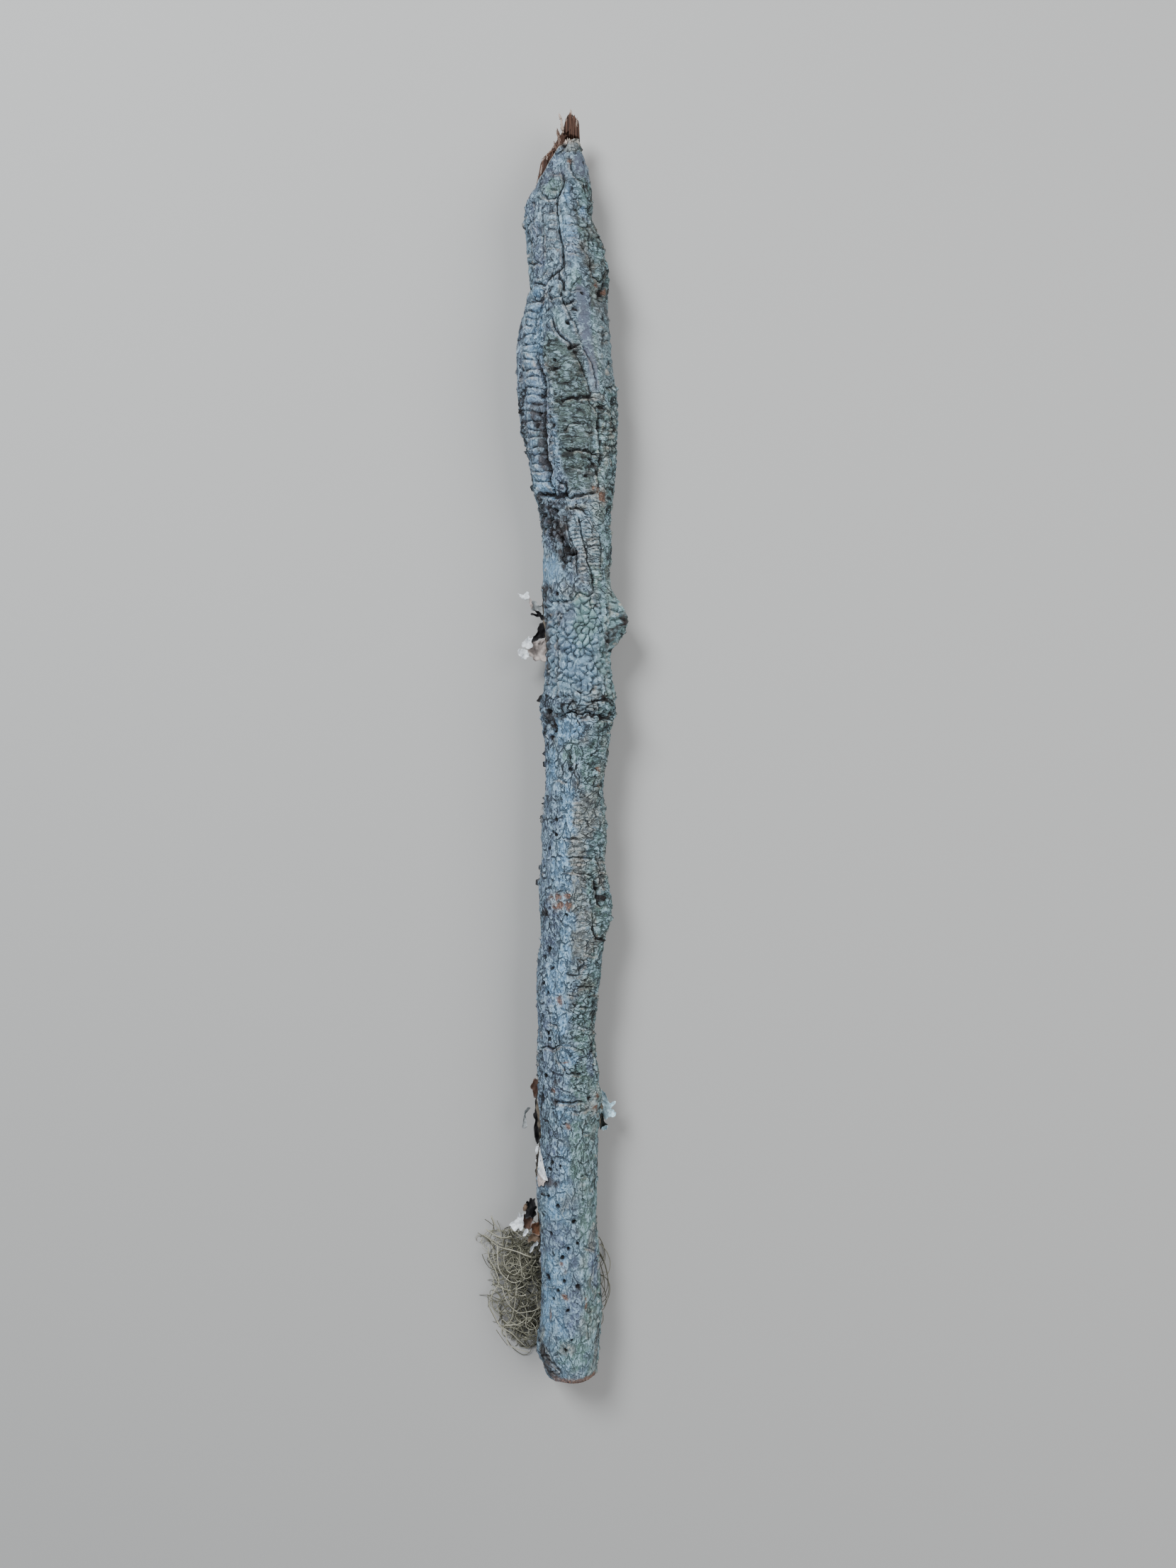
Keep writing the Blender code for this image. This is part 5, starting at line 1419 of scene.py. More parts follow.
def add_splinter(bm, layer, foot, tip, width, thick, pale, seed):
    """A flat torn splinter: a tapered blade whose sides are jagged."""
    start, end = Vector(foot), Vector(tip)
    way = (end - start).normalized()
    side = way.cross(Vector((0, 0, 1))).normalized()
    up = side.cross(way)
    rings = []
    for i in range(SPLINTER_ROWS):
        t = i / (SPLINTER_ROWS - 1)
        taper = (1 - t**2.2) * 0.85 + 0.15
        ragged = 1 + 0.35 * (hashed(i, 0, 0, 300 + seed) - 0.5)
        drift = 0.25 * (hashed(i, 1, 0, 300 + seed) - 0.5)
        ring = []
        for k, (a, b) in enumerate(SPLINTER_SECTION):
            step = 1 + 0.3 * (hashed(i // 3, k, 0, 330 + seed) - 0.5)
            place = start + (end - start) * t + side * (a * step * width / 2 * taper * ragged + drift)
            place += up * (b * step * thick / 2 * taper)
            vert = bm.verts.new(place * MM)
            vert[layer] = (0.15 * (k % 2), hashed(i // 4, k, 3, 330 + seed), pale * (0.5 + 0.5 * t), 1)
            ring.append(vert)
        rings.append(ring)
    for near, far in zip(rings, rings[1:]):
        for k in range(len(near)):
            j = (k + 1) % len(near)
            bm.faces.new((near[k], near[j], far[j], far[k]))
    bm.faces.new(rings[0][::-1])
    bm.faces.new(rings[-1])


def make_foot_wood():
    """The face where the twig was parted: rings of growth, cracks that run out from the pith, a rough rim."""
    angles = np.linspace(-180, 180, FOOT_COLUMNS, endpoint=False)
    turn = np.radians(angles)
    rim = resampled(TABLE_RADIUS, 0 * angles + 1.0, angles) - 1.5
    by_angle = np.stack([angles / 14, 0 * angles + 3, 0 * angles], -1)
    cracks = np.clip(0.12 - np.abs(noise(by_angle, 1, 82)), 0, 1)
    rows, marks = [], []

    def add_ring(share, depth=None):
        radius = rim * share
        spot = np.stack([np.sin(turn) * radius, 0 * angles, np.cos(turn) * radius], axis=-1)
        growth = 0.12 * np.sin(share * 46 + 1.5 * noise(spot, 5, 81))
        crack = cracks * 6 * share
        if depth is None:
            depth = 0.55 + growth + 0.5 * rough(spot, 2.2, 83) + crack
        rows.append(surface_points(np.maximum(depth + 0 * angles, 0.05), angles, radius))
        marks.append(np.stack([np.clip(crack, 0, 1), 0.5 + 3 * growth, 0 * angles], axis=-1))

    for share in np.linspace(0.04, 1, 26):
        add_ring(share)
    add_ring(1.0, depth=2.5)
    add_ring(0.9, depth=5.0)
    return grid_mesh("foot_wood", np.stack(rows), {"fibres": np.stack(marks)})


# The leafy lichens. Each lobe is a thin curled sheet, drawn by its outline in pixels of the photograph round
# a middle. It rises from low, at its root, to high, at its far side, or drapes at that height over the bark.

LOBES = {
    "leafy_lichen_upper_left": (
        dict(middle=(740, 840), low=13.0, high=13.8, face="white", back="pink", points=(
            (731, 838), (733, 838), (736, 839), (740, 838), (743, 835), (747, 835), (747, 840), (747, 844),
            (744, 845), (741, 847), (738, 845), (734, 843), (733, 840))),
        dict(middle=(748, 850), low=12.2, high=12.8, face="pink", back="pink", points=(
            (746, 843), (748, 844), (750, 849), (752, 855), (751, 860), (748, 856), (747, 849))),
        dict(middle=(759, 858), low=9.5, high=11.6, face="grey", back="dark", points=(
            (750, 849), (753, 848), (757, 850), (759, 853), (763, 854), (766, 853), (770, 857), (770, 865),
            (766, 868), (762, 865), (758, 862), (754, 862), (750, 860), (751, 855))),
        dict(middle=(761, 868), low=9.6, high=11.2, face="black", back="black", points=(
            (755, 862), (758, 862), (763, 865), (770, 868), (771, 873), (767, 875), (763, 874), (762, 871),
            (757, 871), (753, 869), (750, 868), (750, 865), (753, 866), (757, 866))),
        dict(middle=(763, 890), low=8, high=10.4, face="black", back="pink", points=(
            (764, 877), (770, 876), (773, 884), (774, 897), (768, 900), (762, 901), (756, 905), (749, 907),
            (748, 903), (751, 900), (755, 897), (757, 892), (758, 886), (761, 881))),
        dict(middle=(759, 917), low=8.2, high=11.4, face="pink", back="black", points=(
            (774, 899), (768, 901), (762, 903), (756, 905), (750, 907), (746, 912), (746, 925), (750, 927),
            (753, 930), (757, 933), (763, 932), (767, 933), (774, 933), (774, 915))),
        dict(middle=(743, 909), low=12.2, high=13.4, face="white", back="pink", points=(
            (736, 911), (737, 906), (741, 904), (746, 898), (748, 901), (752, 899), (749, 905), (751, 909),
            (751, 913), (746, 915), (741, 914), (737, 913))),
        dict(middle=(739, 923), low=12.2, high=13.4, face="white", back="pink", points=(
            (731, 920), (734, 917), (739, 916), (744, 917), (746, 921), (746, 926), (742, 929), (738, 930),
            (735, 928), (732, 925))),
    ),
    "leafy_lichen_left_middle": (
        dict(middle=(755, 1534), low=9.4, high=10.6, face="brown", back="black", points=(
            (756, 1521), (760, 1524), (760, 1536), (759, 1547), (754, 1546), (751, 1540), (750, 1531),
            (752, 1524))),
        dict(middle=(757, 1575), low=9, high=10, face="black", back="black", points=(
            (759, 1545), (761, 1560), (761, 1590), (762, 1606), (758, 1614), (755, 1606), (754, 1598),
            (753, 1590), (755, 1580), (753, 1572), (755, 1562), (755, 1552))),
        dict(middle=(741, 1572), low=10.4, high=12, face="grey", back="white", points=(
            (747, 1561), (744, 1561), (740, 1567), (738, 1575), (738, 1583), (737, 1589), (741, 1591),
            (744, 1588), (742, 1582), (742, 1575), (743, 1568), (748, 1564))),
    ),
    "leafy_lichen_left_strip": (
        dict(middle=(764, 1642), drape=0.7, face="white", back="grey", points=(
            (758, 1619), (762, 1620), (763, 1625), (766, 1631), (766, 1635), (768, 1642), (771, 1650),
            (774, 1658), (771, 1660), (765, 1657), (759, 1653), (757, 1646), (756, 1640), (757, 1633),
            (755, 1627))),
        dict(middle=(763, 1661), drape=0.45, face="pink", back="grey", points=(
            (758, 1651), (765, 1656), (769, 1660), (768, 1665), (764, 1668), (761, 1671), (757, 1664))),
    ),
    "leafy_lichen_left_low": (
        dict(middle=(748, 1703), low=8.8, high=11.4, face="black", back="black", points=(
            (741, 1696), (743, 1692), (746, 1694), (748, 1690), (751, 1692), (755, 1691), (754, 1698),
            (758, 1702), (755, 1708), (757, 1714), (752, 1719), (748, 1715), (745, 1718), (741, 1714),
            (743, 1708), (739, 1703))),
        dict(middle=(741, 1703), low=11.2, high=11.8, face="tan", back="pink", points=(
            (739, 1698), (743, 1697), (744, 1702), (742, 1709), (739, 1707), (738, 1702))),
        dict(middle=(744, 1722), low=9.4, high=11.4, face="brown", back="black", points=(
            (738, 1712), (744, 1713), (751, 1717), (751, 1724), (748, 1733), (741, 1733), (737, 1726))),
        dict(middle=(728, 1726), low=12, high=13.2, face="white", back="pink", points=(
            (718, 1727), (721, 1723), (727, 1722), (731, 1717), (732, 1709), (734, 1715), (738, 1711),
            (738, 1719), (738, 1730), (735, 1735), (731, 1731), (727, 1736), (723, 1733), (721, 1730))),
        dict(middle=(742, 1738), low=11.2, high=12, face="white", back="pink", points=(
            (740, 1735), (745, 1733), (746, 1737), (742, 1741), (738, 1742), (739, 1738))),
        dict(middle=(755, 1733), low=9, high=10.6, face="orange", back="black", points=(
            (751, 1725), (760, 1724), (762, 1732), (762, 1741), (753, 1741), (750, 1734))),
        dict(middle=(753, 1746), low=8.6, high=9.8, face="tan", back="dark", points=(
            (746, 1742), (753, 1740), (762, 1741), (762, 1748), (756, 1752), (750, 1749), (745, 1751))),
        dict(middle=(754, 1758), low=10, high=11.6, face="white", back="pink", points=(
            (759, 1750), (758, 1757), (754, 1760), (749, 1766), (747, 1763), (750, 1757), (755, 1752))),
    ),
    "leafy_lichen_right": (
        dict(middle=(852, 1546), low=9.8, high=11.8, face="cyan", back="dark", points=(
            (846, 1537), (850, 1537), (853, 1541), (855, 1547), (858, 1551), (855, 1553), (851, 1553),
            (846, 1552))),
        dict(middle=(856, 1563), low=9.6, high=12.4, face="cyan", back="dark", points=(
            (846, 1553), (854, 1552), (858, 1553), (861, 1554), (868, 1551), (867, 1556), (863, 1560),
            (863, 1565), (859, 1570), (857, 1575), (853, 1578), (851, 1573), (849, 1570), (848, 1563),
            (847, 1558))),
        dict(middle=(864, 1570), low=11, high=12.2, face="cyan", back="dark", points=(
            (862, 1565), (867, 1566), (869, 1570), (867, 1574), (863, 1575), (859, 1575), (859, 1571))),
        # Painted shadow: a dark lobe laid where the lobes above shade the bark
        dict(middle=(850, 1582), low=9.4, high=10.6, face="dark", back="dark", points=(
            (847, 1568), (850, 1571), (852, 1577), (853, 1583), (857, 1585), (853, 1588), (849, 1592),
            (846, 1595), (846, 1580))),
        dict(middle=(853, 1590), low=10.2, high=11, face="cyan", back="dark", points=(
            (850, 1589), (857, 1587), (857, 1591), (852, 1594), (848, 1593))),
    ),
}
# Where each lichen's lobes grow from the bark: (angle, along)
ROOTS = {
    "leafy_lichen_upper_left": ((-110, 264), (-106, 280), (-112, 292)),
    "leafy_lichen_left_middle": ((-104, 112), (-100, 98), (-98, 86)),
    "leafy_lichen_left_strip": ((-92, 86), (-94, 80), (-96, 70)),
    "leafy_lichen_left_low": ((-106, 66), (-108, 56), (-104, 46)),
    "leafy_lichen_right": ((106, 106), (104, 98), (106, 91)),
}
FACES = {
    "white": (0.9, 0.95, 1.0), "pink": (0.56, 0.49, 0.46), "grey": (0.44, 0.47, 0.48),
    "cyan": (0.72, 1.0, 1.15), "brown": (0.10, 0.055, 0.04), "black": (0.011, 0.010, 0.012),
    "dark": (0.045, 0.055, 0.05), "orange": (0.21, 0.10, 0.055), "tan": (0.24, 0.17, 0.12),
}
LOBE_THICK = 0.32
LOBE_RINGS, LOBE_SPOKES = 9, 66
DRAPED_HEIGHT, LOWEST_DRAPE = 17.5, 11.0
ROOT_ROWS, ROOT_COLUMNS, ROOT_WIDTH = 44, 15, 13
ROOT_DARK, ROOT_PALE = np.array((0.02, 0.017, 0.015)), np.array((0.16, 0.135, 0.105))


def curve_between(p, f):
    """Places on the smooth curve through four points, a share f of the way from the second to the third."""
    return 0.5 * (
        2 * p[1] + (p[2] - p[0]) * f + (2 * p[0] - 5 * p[1] + 4 * p[2] - p[3]) * f**2
        + (3 * p[1] - p[0] - 3 * p[2] + p[3]) * f**3
    )


def closed_curve(points, count):
    """Places on the smooth closed curve through some points."""
    points = np.array(points, float)
    t = np.linspace(0, len(points), count, endpoint=False)
    i = np.floor(t).astype(int)
    return curve_between([points[(i + k) % len(points)] for k in (-1, 0, 1, 2)], (t - i)[:, None])


def bark_height(x, y):
    """How high the twig's surface is over a place of the object's frame, in mm."""
    hit = twig_tree.ray_cast(metres(x, y, ABOVE_ALL), Vector((0, 0, -1)))[0]
    return hit.z / MM if hit else MIDDLE_HEIGHT


def lobe_heights(lobe, places, spot, out, t):
    """How high a ring of a lobe lies. t is its share of the way to the rim, and out is 1 at the far side."""
    if "drape" in lobe:
        z = np.array([bark_height(*place) for place in places]) + lobe["drape"] + 0.25 * noise(spot, 1.4, 92)
        return np.maximum(z, LOWEST_DRAPE) + 0.3 * t**3
    z = lobe["low"] + (lobe["high"] - lobe["low"]) * out
    z = z + 0.55 * noise(spot, 2.6, 91) + 0.3 * noise(spot, 1.1, 92)
    return z + t**3 * (noise(spot, 1.7, 93) + 0.5)


def add_lobe(bm, layer, lobe, seed, outward):
    """One thin curled sheet, closed, with a face and a back. Its edge is frilled, and pale on a dark lobe."""
    height = DRAPED_HEIGHT if "drape" in lobe else (lobe["low"] + lobe["high"]) / 2
    middle = np.array(pixel_place(*lobe["middle"], height))
    rim = np.array([pixel_place(u, v, height) for u, v in closed_curve(lobe["points"], LOBE_SPOKES)])
    spokes = np.arange(LOBE_SPOKES)
    spot = np.stack([rim[:, 0], rim[:, 1], 0 * spokes + seed], -1)
    frill = 0.42 * noise(spot, 1.0, 90) + 0.26 * noise(spot, 0.55, 94)
    reach = rim - middle
    rim = rim + reach / np.linalg.norm(reach, axis=1)[:, None] * frill[:, None]
    xs = rim[:, 0] * outward
    edge_skin = 0.35 * np.array(FACES["white"]) + 0.4 * np.array(FACES["pink"])
    dark = max(FACES[lobe["face"]]) < 0.3
    verts = {}
    for face, lift in (("face", LOBE_THICK / 2), ("back", -LOBE_THICK / 2)):
        skin = np.array(FACES[lobe[face]])
        for ring in range(LOBE_RINGS + 1):
            t = ring / LOBE_RINGS
            places = middle + (rim - middle) * t
            spot = np.stack([places[:, 0], places[:, 1], 0 * spokes + seed], -1)
            out = np.clip((places[:, 0] * outward - xs.min()) / max(xs.max() - xs.min(), 0.1), 0, 1)
            z = lobe_heights(lobe, places, spot, out, t) + lift * (1 - 0.75 * t**6)
            folds = 0.5 + 0.5 * noise(spot, (1.0, 1.0, 1.0), 95)
            pale_rim = float(smooth(0.84, 1, t)) * (0.55 if dark else 0.0)
            for k in spokes if ring else (0,):
                vert = bm.verts.new(Vector((places[k, 0], places[k, 1], max(z[k], 0.1))) * MM)
                shade = skin * (0.72 + 0.4 * folds[k])
                shade = shade * (1 - pale_rim * folds[k]) + edge_skin * pale_rim * folds[k]
                vert[layer] = (*shade, 1)
                verts[face, ring, int(k)] = vert
    for k in range(LOBE_SPOKES):
        j = (k + 1) % LOBE_SPOKES
        for face, order in (("face", 1), ("back", -1)):
            bm.faces.new([verts[face, 0, 0], verts[face, 1, k], verts[face, 1, j]][::order])
            for ring in range(1, LOBE_RINGS):
                corners = [verts[face, r, m] for r, m in ((ring, k), (ring + 1, k), (ring + 1, j), (ring, j))]
                bm.faces.new(corners[::order])
        corners = (("face", k), ("back", k), ("back", j), ("face", j))
        bm.faces.new([verts[face, LOBE_RINGS, m] for face, m in corners])


def add_root(bm, layer, places, seed):
    """The dark crust on the bark that a lichen's lobes grow from: a lumpy strip that hugs the bark."""
    angles, alongs = np.array(places, float).T
    t = np.linspace(0, 1, ROOT_ROWS)
    order = np.linspace(0, 1, len(alongs))
    along = np.interp(t, order, alongs)
    angle = np.interp(t, order, angles)
    across = np.linspace(-1, 1, ROOT_COLUMNS)
    width = ROOT_WIDTH * np.sin(np.pi * np.clip(t, 0.02, 0.98)) ** 0.4
    wander = noise(np.stack(np.broadcast_arrays(t[:, None] * 30, across * 4, 0.0), -1), 2, seed)
    grid_along = along[:, None] + 0.6 * wander
    grid_angle = angle[:, None] + across[None, :] * width[:, None]
    shape = np.sqrt(np.clip(1 - across[None, :] ** 2, 0, 1)) * np.sqrt(np.sin(np.pi * t))[:, None]
    radius = resampled(TABLE_RADIUS, grid_along, grid_angle)
    spot = surface_points(grid_along, grid_angle, radius)
    lumps = 0.5 + 0.6 * noise(spot, 1.6, seed + 1)
    share = smooth(-0.3, 0.5, noise(spot, 1.6, seed + 2))[..., None]
    crust = (1 - share) * ROOT_DARK + share * ROOT_PALE
    sides = []
    for lift in (0.25 + 1.3 * shape * lumps, -0.9 * np.ones_like(shape)):
        points = surface_points(grid_along, grid_angle, radius + lift)
        points[..., 2] = np.maximum(points[..., 2], 0.05)
        side = {}
        for place in np.ndindex(ROOT_ROWS, ROOT_COLUMNS):
            side[place] = bm.verts.new(Vector(points[place]) * MM)
            side[place][layer] = (*crust[place], 1)
        sides.append(side)
    top, low = sides
    for i in range(ROOT_ROWS - 1):
        for k in range(ROOT_COLUMNS - 1):
            bm.faces.new((top[i, k], top[i, k + 1], top[i + 1, k + 1], top[i + 1, k]))
            bm.faces.new((low[i, k], low[i + 1, k], low[i + 1, k + 1], low[i, k + 1]))
    edge = [(0, k) for k in range(ROOT_COLUMNS)] + [(i, ROOT_COLUMNS - 1) for i in range(1, ROOT_ROWS)]
    edge += [(ROOT_ROWS - 1, k) for k in range(ROOT_COLUMNS - 2, -1, -1)]
    edge += [(i, 0) for i in range(ROOT_ROWS - 2, 0, -1)]
    for here, after in zip(edge, edge[1:] + edge[:1]):
        bm.faces.new((top[here], low[here], low[after], top[after]))


def make_leafy(name):
    bm = bmesh.new()
    layer = bm.verts.layers.float_color.new("faces")
    outward = 1 if name.endswith("_right") else -1
    seed = sorted(LOBES).index(name) * 20
    add_root(bm, layer, ROOTS[name], 400 + seed)
    for n, lobe in enumerate(LOBES[name]):
        add_lobe(bm, layer, lobe, seed + n, outward)
    bmesh.ops.recalc_face_normals(bm, faces=bm.faces)
    mesh = bpy.data.meshes.new(name)
    bm.to_mesh(mesh)
    bm.free()
    mesh.shade_smooth()
    return linked(name + "_lobes", mesh)


# The beard lichen: a tangle of thin strands on the surface the twig lies on, some of it beneath the twig

STRANDS, LOW_STRANDS, SIDE_STRANDS = 95, 40, 170
STRAND_STEP = 1.1
STRAND_SIDES = 5
# Where the strands grow from and the middle that they keep near, as (x from the middle line, along)
HOLDFAST = (-13.6, 43.0)
TANGLE_MIDDLE = (-20, 28)
# A strand turns back where the tangle is thinner than this, and bends away from the twig past that x
THINNEST, NEAR_TWIG = 0.6, -8
# Strands traced in pixels: on the tangle, beyond it (thin), and by the twig's right edge
TRACED_STRANDS = (
    ((754, 1775), (742, 1771), (730, 1766), (720, 1763), (710, 1761), (699, 1756), (686, 1744)),
    ((702, 1758), (702, 1775), (705.5, 1794), (722, 1809), (734, 1806), (746, 1794), (756, 1777)),
    ((689, 1761), (690, 1775), (698, 1789.5), (704, 1809), (696, 1823), (690, 1840), (698, 1857),
     (708, 1871.5), (722, 1881), (732, 1891), (742, 1900)),
    ((729, 1818), (727, 1833), (725, 1847), (720, 1864), (710, 1871)),
    ((708, 1814), (713, 1831), (722, 1845), (739, 1857), (754, 1871), (758, 1886)),
    ((701, 1864), (713, 1881), (717, 1896), (730, 1903), (746, 1908)),
    ((693, 1715), (698, 1727), (705, 1736), (708, 1751)),
    ((686, 1734), (696, 1741), (708, 1746), (722, 1744)),
    ((757, 1822), (757, 1832), (759, 1844), (760, 1851)),
    ((745, 1808), (738, 1815), (733, 1817), (727, 1820)),
    ((714, 1870), (723, 1869), (732, 1868), (743, 1860)),
    ((714, 1806), (722, 1793), (736, 1791), (749, 1783)),
)
THIN_STRANDS = (
    ((680, 1769), (684, 1779), (690, 1788), (700, 1793)),
    ((688.5, 1826), (690, 1843), (696, 1856), (702, 1868)), ((674, 1739), (682, 1744), (691, 1750)),
    ((697, 1727), (694, 1740), (691, 1750), (693, 1765)), ((684, 1720), (690, 1724), (697, 1730)),
    ((697, 1735), (696, 1726), (693, 1718)), ((701, 1722), (704, 1728), (707, 1737)),
    ((715, 1889), (724, 1902), (738, 1911), (748, 1907), (750, 1895)),
    ((700, 1876), (709, 1889), (716, 1898)), ((686, 1744), (689, 1750), (692, 1752)),
    ((721, 1748), (716, 1740), (712, 1736)),
)
RIGHT_STRANDS = (
    ((845, 1766), (850, 1774), (855, 1790), (858, 1806), (859, 1820), (855, 1832), (848, 1838)),
    ((846, 1770), (853, 1782), (857, 1798), (857, 1815), (852, 1828), (846, 1832)),
    ((845, 1778), (849, 1790), (852, 1803), (853, 1818), (848, 1830)),
    ((846, 1755), (852, 1760), (858, 1770), (861, 1783), (858, 1796), (850, 1800)),
    ((845, 1745), (849, 1752), (853, 1764), (853, 1778), (847, 1787)),
    ((847, 1798), (855, 1803), (860, 1812), (860, 1824), (856, 1836), (852, 1846), (847, 1850)),
    ((846, 1842), (850, 1852), (851, 1862), (847, 1870)),
    ((846, 1808), (851, 1816), (855, 1828), (854, 1840), (848, 1845)),
)
beard_tree = BVHTree.FromObject(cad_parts["beard_lichen"], bpy.context.evaluated_depsgraph_get())


def beard_top(x, along):
    """How high the tangle may be at a place, or 0 outside it."""
    hit = beard_tree.ray_cast(metres(x + MIDDLE_X, along + FOOT_Y, ABOVE_ALL), Vector((0, 0, -1)))[0]
    return hit.z / MM if hit else 0.0


def open_curve(points, step):
    """Places about that distance apart on the smooth curve through some points."""
    points = np.array(points, float)
    ends = np.vstack([2 * points[0] - points[1], points, 2 * points[-1] - points[-2]])
    shown = [points[:1]]
    for n in range(len(points) - 1):
        count = max(int(np.linalg.norm(points[n + 1] - points[n]) / step), 1)
        shown.append(curve_between(ends[n : n + 4], (np.arange(1, count + 1) / count)[:, None]))
    return np.vstack(shown)


def pixel_strand(rng, pixels, low, high):
    """A strand traced in pixels, somewhere between two heights."""
    level, swing = rng.uniform(low, high), rng.uniform(0, 6.28)
    places = []
    for n, (u, v) in enumerate(pixels):
        height = np.clip(level + 0.9 * math.sin(swing + 1.1 * n), 0.5, high)
        x, y = pixel_place(u, v, height)
        places.append((x - MIDDLE_X, y - FOOT_Y, height))
    return open_curve(places, STRAND_STEP)


def grow_strand(rng, start, heading, length, level, curl=0.11):
    """A curling line of (x, along, height) points that keeps to the tangle."""
    points = []
    x, y = start
    bend = rng.normal(0, 0.08)
    steps = int(length / STRAND_STEP)
    rise = rng.uniform(0, 6.28)
    for n in range(steps):
        top = beard_top(x, y)
        home = math.sin(math.atan2(TANGLE_MIDDLE[1] - y, TANGLE_MIDDLE[0] - x) - heading)
        if top < THINNEST:
            if n > steps * 0.25:
                break
            heading += 0.5 * home
        elif beard_top(x + 1.4 * math.cos(heading), y + 1.4 * math.sin(heading)) < THINNEST:
            heading += 0.3 * math.copysign(1, home)
        if x > NEAR_TWIG:
            heading += 0.12 * math.copysign(1, home)
        share = np.clip(level + 0.24 * math.sin(rise + n * 0.33), 0.03, 0.97)
        points.append((x, y, 0.3 + max(top - 0.8, 0.1) * share))
        bend += rng.normal(0, curl) - 0.09 * bend
        bend = float(np.clip(bend, -0.5, 0.5))
        heading += bend * STRAND_STEP
        x += math.cos(heading) * STRAND_STEP
        y += math.sin(heading) * STRAND_STEP
    points = np.array(points)
    if len(points) > 3:
        heights = np.pad(points[:, 2], 2, mode="edge")
        points[:, 2] = np.convolve(heights, np.ones(5) / 5, "valid")
    return points


def make_tubes(name, lines):
    """Closed thin tubes round lines. Each is (points, thickness at its root, thickness at its tip, shade)."""
    places, quads, fans, shades = [], [], [], []
    count = 0
    ring = np.arange(STRAND_SIDES)
    after = (ring + 1) % STRAND_SIDES
    turn = 2 * np.pi * ring / STRAND_SIDES
    for points, thick, thin, shade in lines:
        rows = len(points)
        ways = np.gradient(points, axis=0)
        ways /= np.linalg.norm(ways, axis=1)[:, None]
        sides = np.cross(ways, (0.0, 0.0, 1.0))
        sides /= np.maximum(np.linalg.norm(sides, axis=1), 1e-6)[:, None]
        ups = np.cross(sides, ways)
        radius = np.linspace(thick, thin, rows) / 2
        circle = np.cos(turn)[None, :, None] * sides[:, None] + np.sin(turn)[None, :, None] * ups[:, None]
        tube = points[:, None] + radius[:, None, None] * circle
        tube[..., 2] = np.maximum(tube[..., 2], 0.03)
        places += [tube.reshape(-1, 3), points[:1], points[-1:]]
        starts = count + (np.arange(rows - 1) * STRAND_SIDES)[:, None]
        above = starts + STRAND_SIDES
        walls = np.stack([starts + ring, above + ring, above + after, starts + after], axis=-1)
        quads.append(walls.reshape(-1, 4))
        foot, last = count + rows * STRAND_SIDES, count + (rows - 1) * STRAND_SIDES
        fans.append(np.stack([ring * 0 + foot, count + ring, count + after], 1))
        fans.append(np.stack([ring * 0 + foot + 1, last + after, last + ring], 1))
        along = np.linspace(0, 1, rows)
        value = np.stack([0 * along + shade, along, 0 * along], -1)
        shades += [np.repeat(value, STRAND_SIDES, axis=0), value[:1], value[-1:]]
        count += rows * STRAND_SIDES + 2
    places = np.vstack(places) + (MIDDLE_X, FOOT_Y, 0)
    return mesh_piece(name, places, np.vstack(quads), np.vstack(fans), {"strand": np.vstack(shades)})


def make_beard():
    """Strands that grow at random through the tangle, side branches on them, and the traced ones."""
    rng = np.random.default_rng(11)
    lines = []
    for n in range(STRANDS + LOW_STRANDS):
        low = n >= STRANDS
        if low:
            start = (rng.uniform(-24, -10), rng.uniform(8, 46))
            heading = rng.choice((1.57, -1.57)) + rng.normal(0, 0.5)
        elif n < STRANDS * 0.4:
            start = (HOLDFAST[0] + rng.normal(0, 1.6), HOLDFAST[1] + rng.normal(0, 3.0))
            heading = rng.uniform(2.6, 4.7)
        else:
            start = (rng.uniform(-31, -4), rng.uniform(8, 47))
            heading = math.atan2(start[1] - HOLDFAST[1], start[0] - HOLDFAST[0]) + rng.normal(0, 0.9)
        if beard_top(*start) < THINNEST:
            start = (rng.normal(-21, 4), rng.normal(29, 8))
        level = rng.uniform(0.03, 0.3) if low else rng.uniform(0.1, 1)
        points = grow_strand(rng, start, heading, rng.uniform(20, 55), level)
        if len(points) > 6:
            # The low strands near the twig are nearly black: painted shade in the depths of the tangle
            shade = rng.uniform(0, 0.15) if low else rng.choice((rng.uniform(0, 0.35), rng.uniform(0.7, 1.1)))
            lines.append((points, rng.uniform(0.3, 0.44), 0.2, shade))
    mains = list(lines)
    for n in range(SIDE_STRANDS):
        points = mains[rng.integers(len(mains))][0]
        at = rng.integers(2, len(points) - 2)
        way = points[at + 1] - points[at - 1]
        heading = math.atan2(way[1], way[0]) + rng.choice((-1, 1)) * rng.uniform(0.4, 1.0)
        branch = grow_strand(rng, points[at][:2], heading, rng.uniform(6, 16), rng.uniform(0.3, 1), 0.17)
        if len(branch) > 3:
            branch[:, 2] += (points[at][2] - branch[0, 2]) * np.linspace(1, 0, len(branch))
            lines.append((branch, rng.uniform(0.26, 0.32), 0.18, rng.uniform(0, 1)))
    for strands, heights, thick, thin, shades in (
        (TRACED_STRANDS[:1], (7.5, 10), 0.62, 0.3, (0.8, 1)),
        (TRACED_STRANDS[1:], (7.5, 10), 0.46, 0.3, (0.8, 1)),
        (THIN_STRANDS, (1.5, 3.5), 0.3, 0.2, (0, 0.4)),
        (RIGHT_STRANDS, (3, 7.5), 0.42, 0.24, (0, 0.6)),
    ):
        for pixels in strands:
            lines.append((pixel_strand(rng, pixels, *heights), thick, thin, rng.uniform(*shades)))
    return make_tubes("beard_lichen_strands", lines)


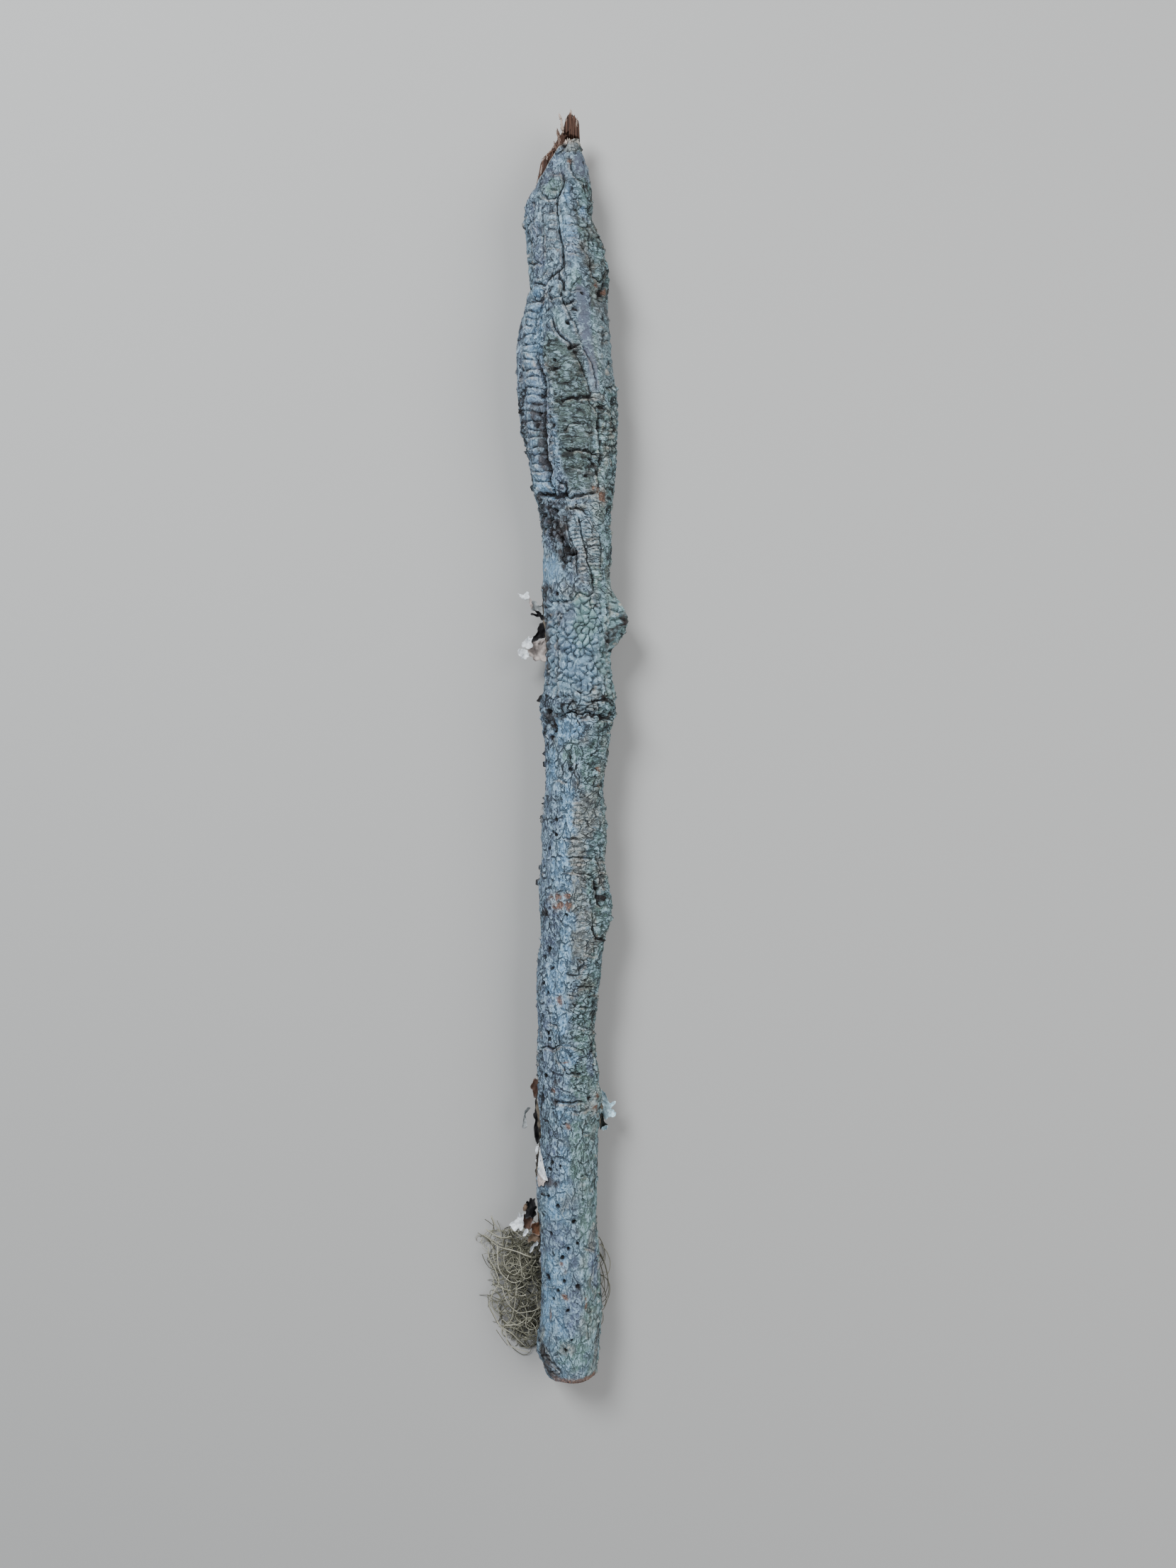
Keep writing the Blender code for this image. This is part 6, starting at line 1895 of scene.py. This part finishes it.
def wood_material():
    made, tree = new_material("torn wood")
    deep, stripe, pale = channels(tree, mesh_colour(tree, "fibres"))[:3]
    grain = noise_texture(tree, mapped(tree, object_place(tree), (1, 0.08, 1)), 1500, 4, 0.65)[0]
    colour = blend_colours(tree, remap(tree, grain, 0.3, 0.7), (0.035, 0.016, 0.011), (0.125, 0.064, 0.044))
    for amount, share, tone in (
        (stripe, 0.5, (0.115, 0.062, 0.044)),
        (deep, 0.85, (0.012, 0.006, 0.005)),
        (pale, 0.8, (0.62, 0.52, 0.45)),
    ):
        colour = blend_colours(tree, math_node(tree, "MULTIPLY", amount, share), colour, tone)
    finish_material(tree, colour, 0.8, 0.25, grain, 0.8, 0.0004)
    return made


def leafy_material(name):
    made, tree = new_material(name)
    mottle = noise_texture(tree, object_place(tree), 900, 4)[0]
    faces = {"Color": mesh_colour(tree, "faces"), "Value": remap(tree, mottle, 0.3, 0.65, 0.62, 1.08)}
    colour = node(tree, "ShaderNodeHueSaturation", faces).outputs[0]
    finish_material(tree, colour, 0.75, 0.3, mottle, 0.8, 0.0003)
    return made


def beard_material():
    made, tree = new_material("beard lichen strands")
    shade = channels(tree, mesh_colour(tree, "strand"))[0]
    mottle = noise_texture(tree, object_place(tree), 900, 3)[0]
    colour = blend_colours(tree, shade, (0.07, 0.068, 0.046), (0.38, 0.37, 0.295))
    colour = blend_colours(tree, remap(tree, mottle, 0.5, 0.7, 0, 0.6), colour, (0.2, 0.19, 0.14))
    finish_material(tree, colour, 0.8, 0.2, mottle, 0.5, 0.0002)
    return made


dress(make_bark(), bark_material(), "bark", "twig")
torn = wood_material()
dress(make_tip_wood(), torn, "broken_wood", "twig")
dress(make_foot_wood(), torn, "broken_wood", "twig")
leafy = leafy_material("leafy lichen")
pale_leafy = leafy_material("pale leafy lichen")
for title in LOBES:
    if title == "leafy_lichen_right":
        dress(make_leafy(title), pale_leafy, "pale_leafy_lichen", title)
    else:
        dress(make_leafy(title), leafy, "leafy_lichen", title)
dress(make_beard(), beard_material(), "beard_lichen", "beard_lichen")
make_floor()
make_studio()
make_camera()
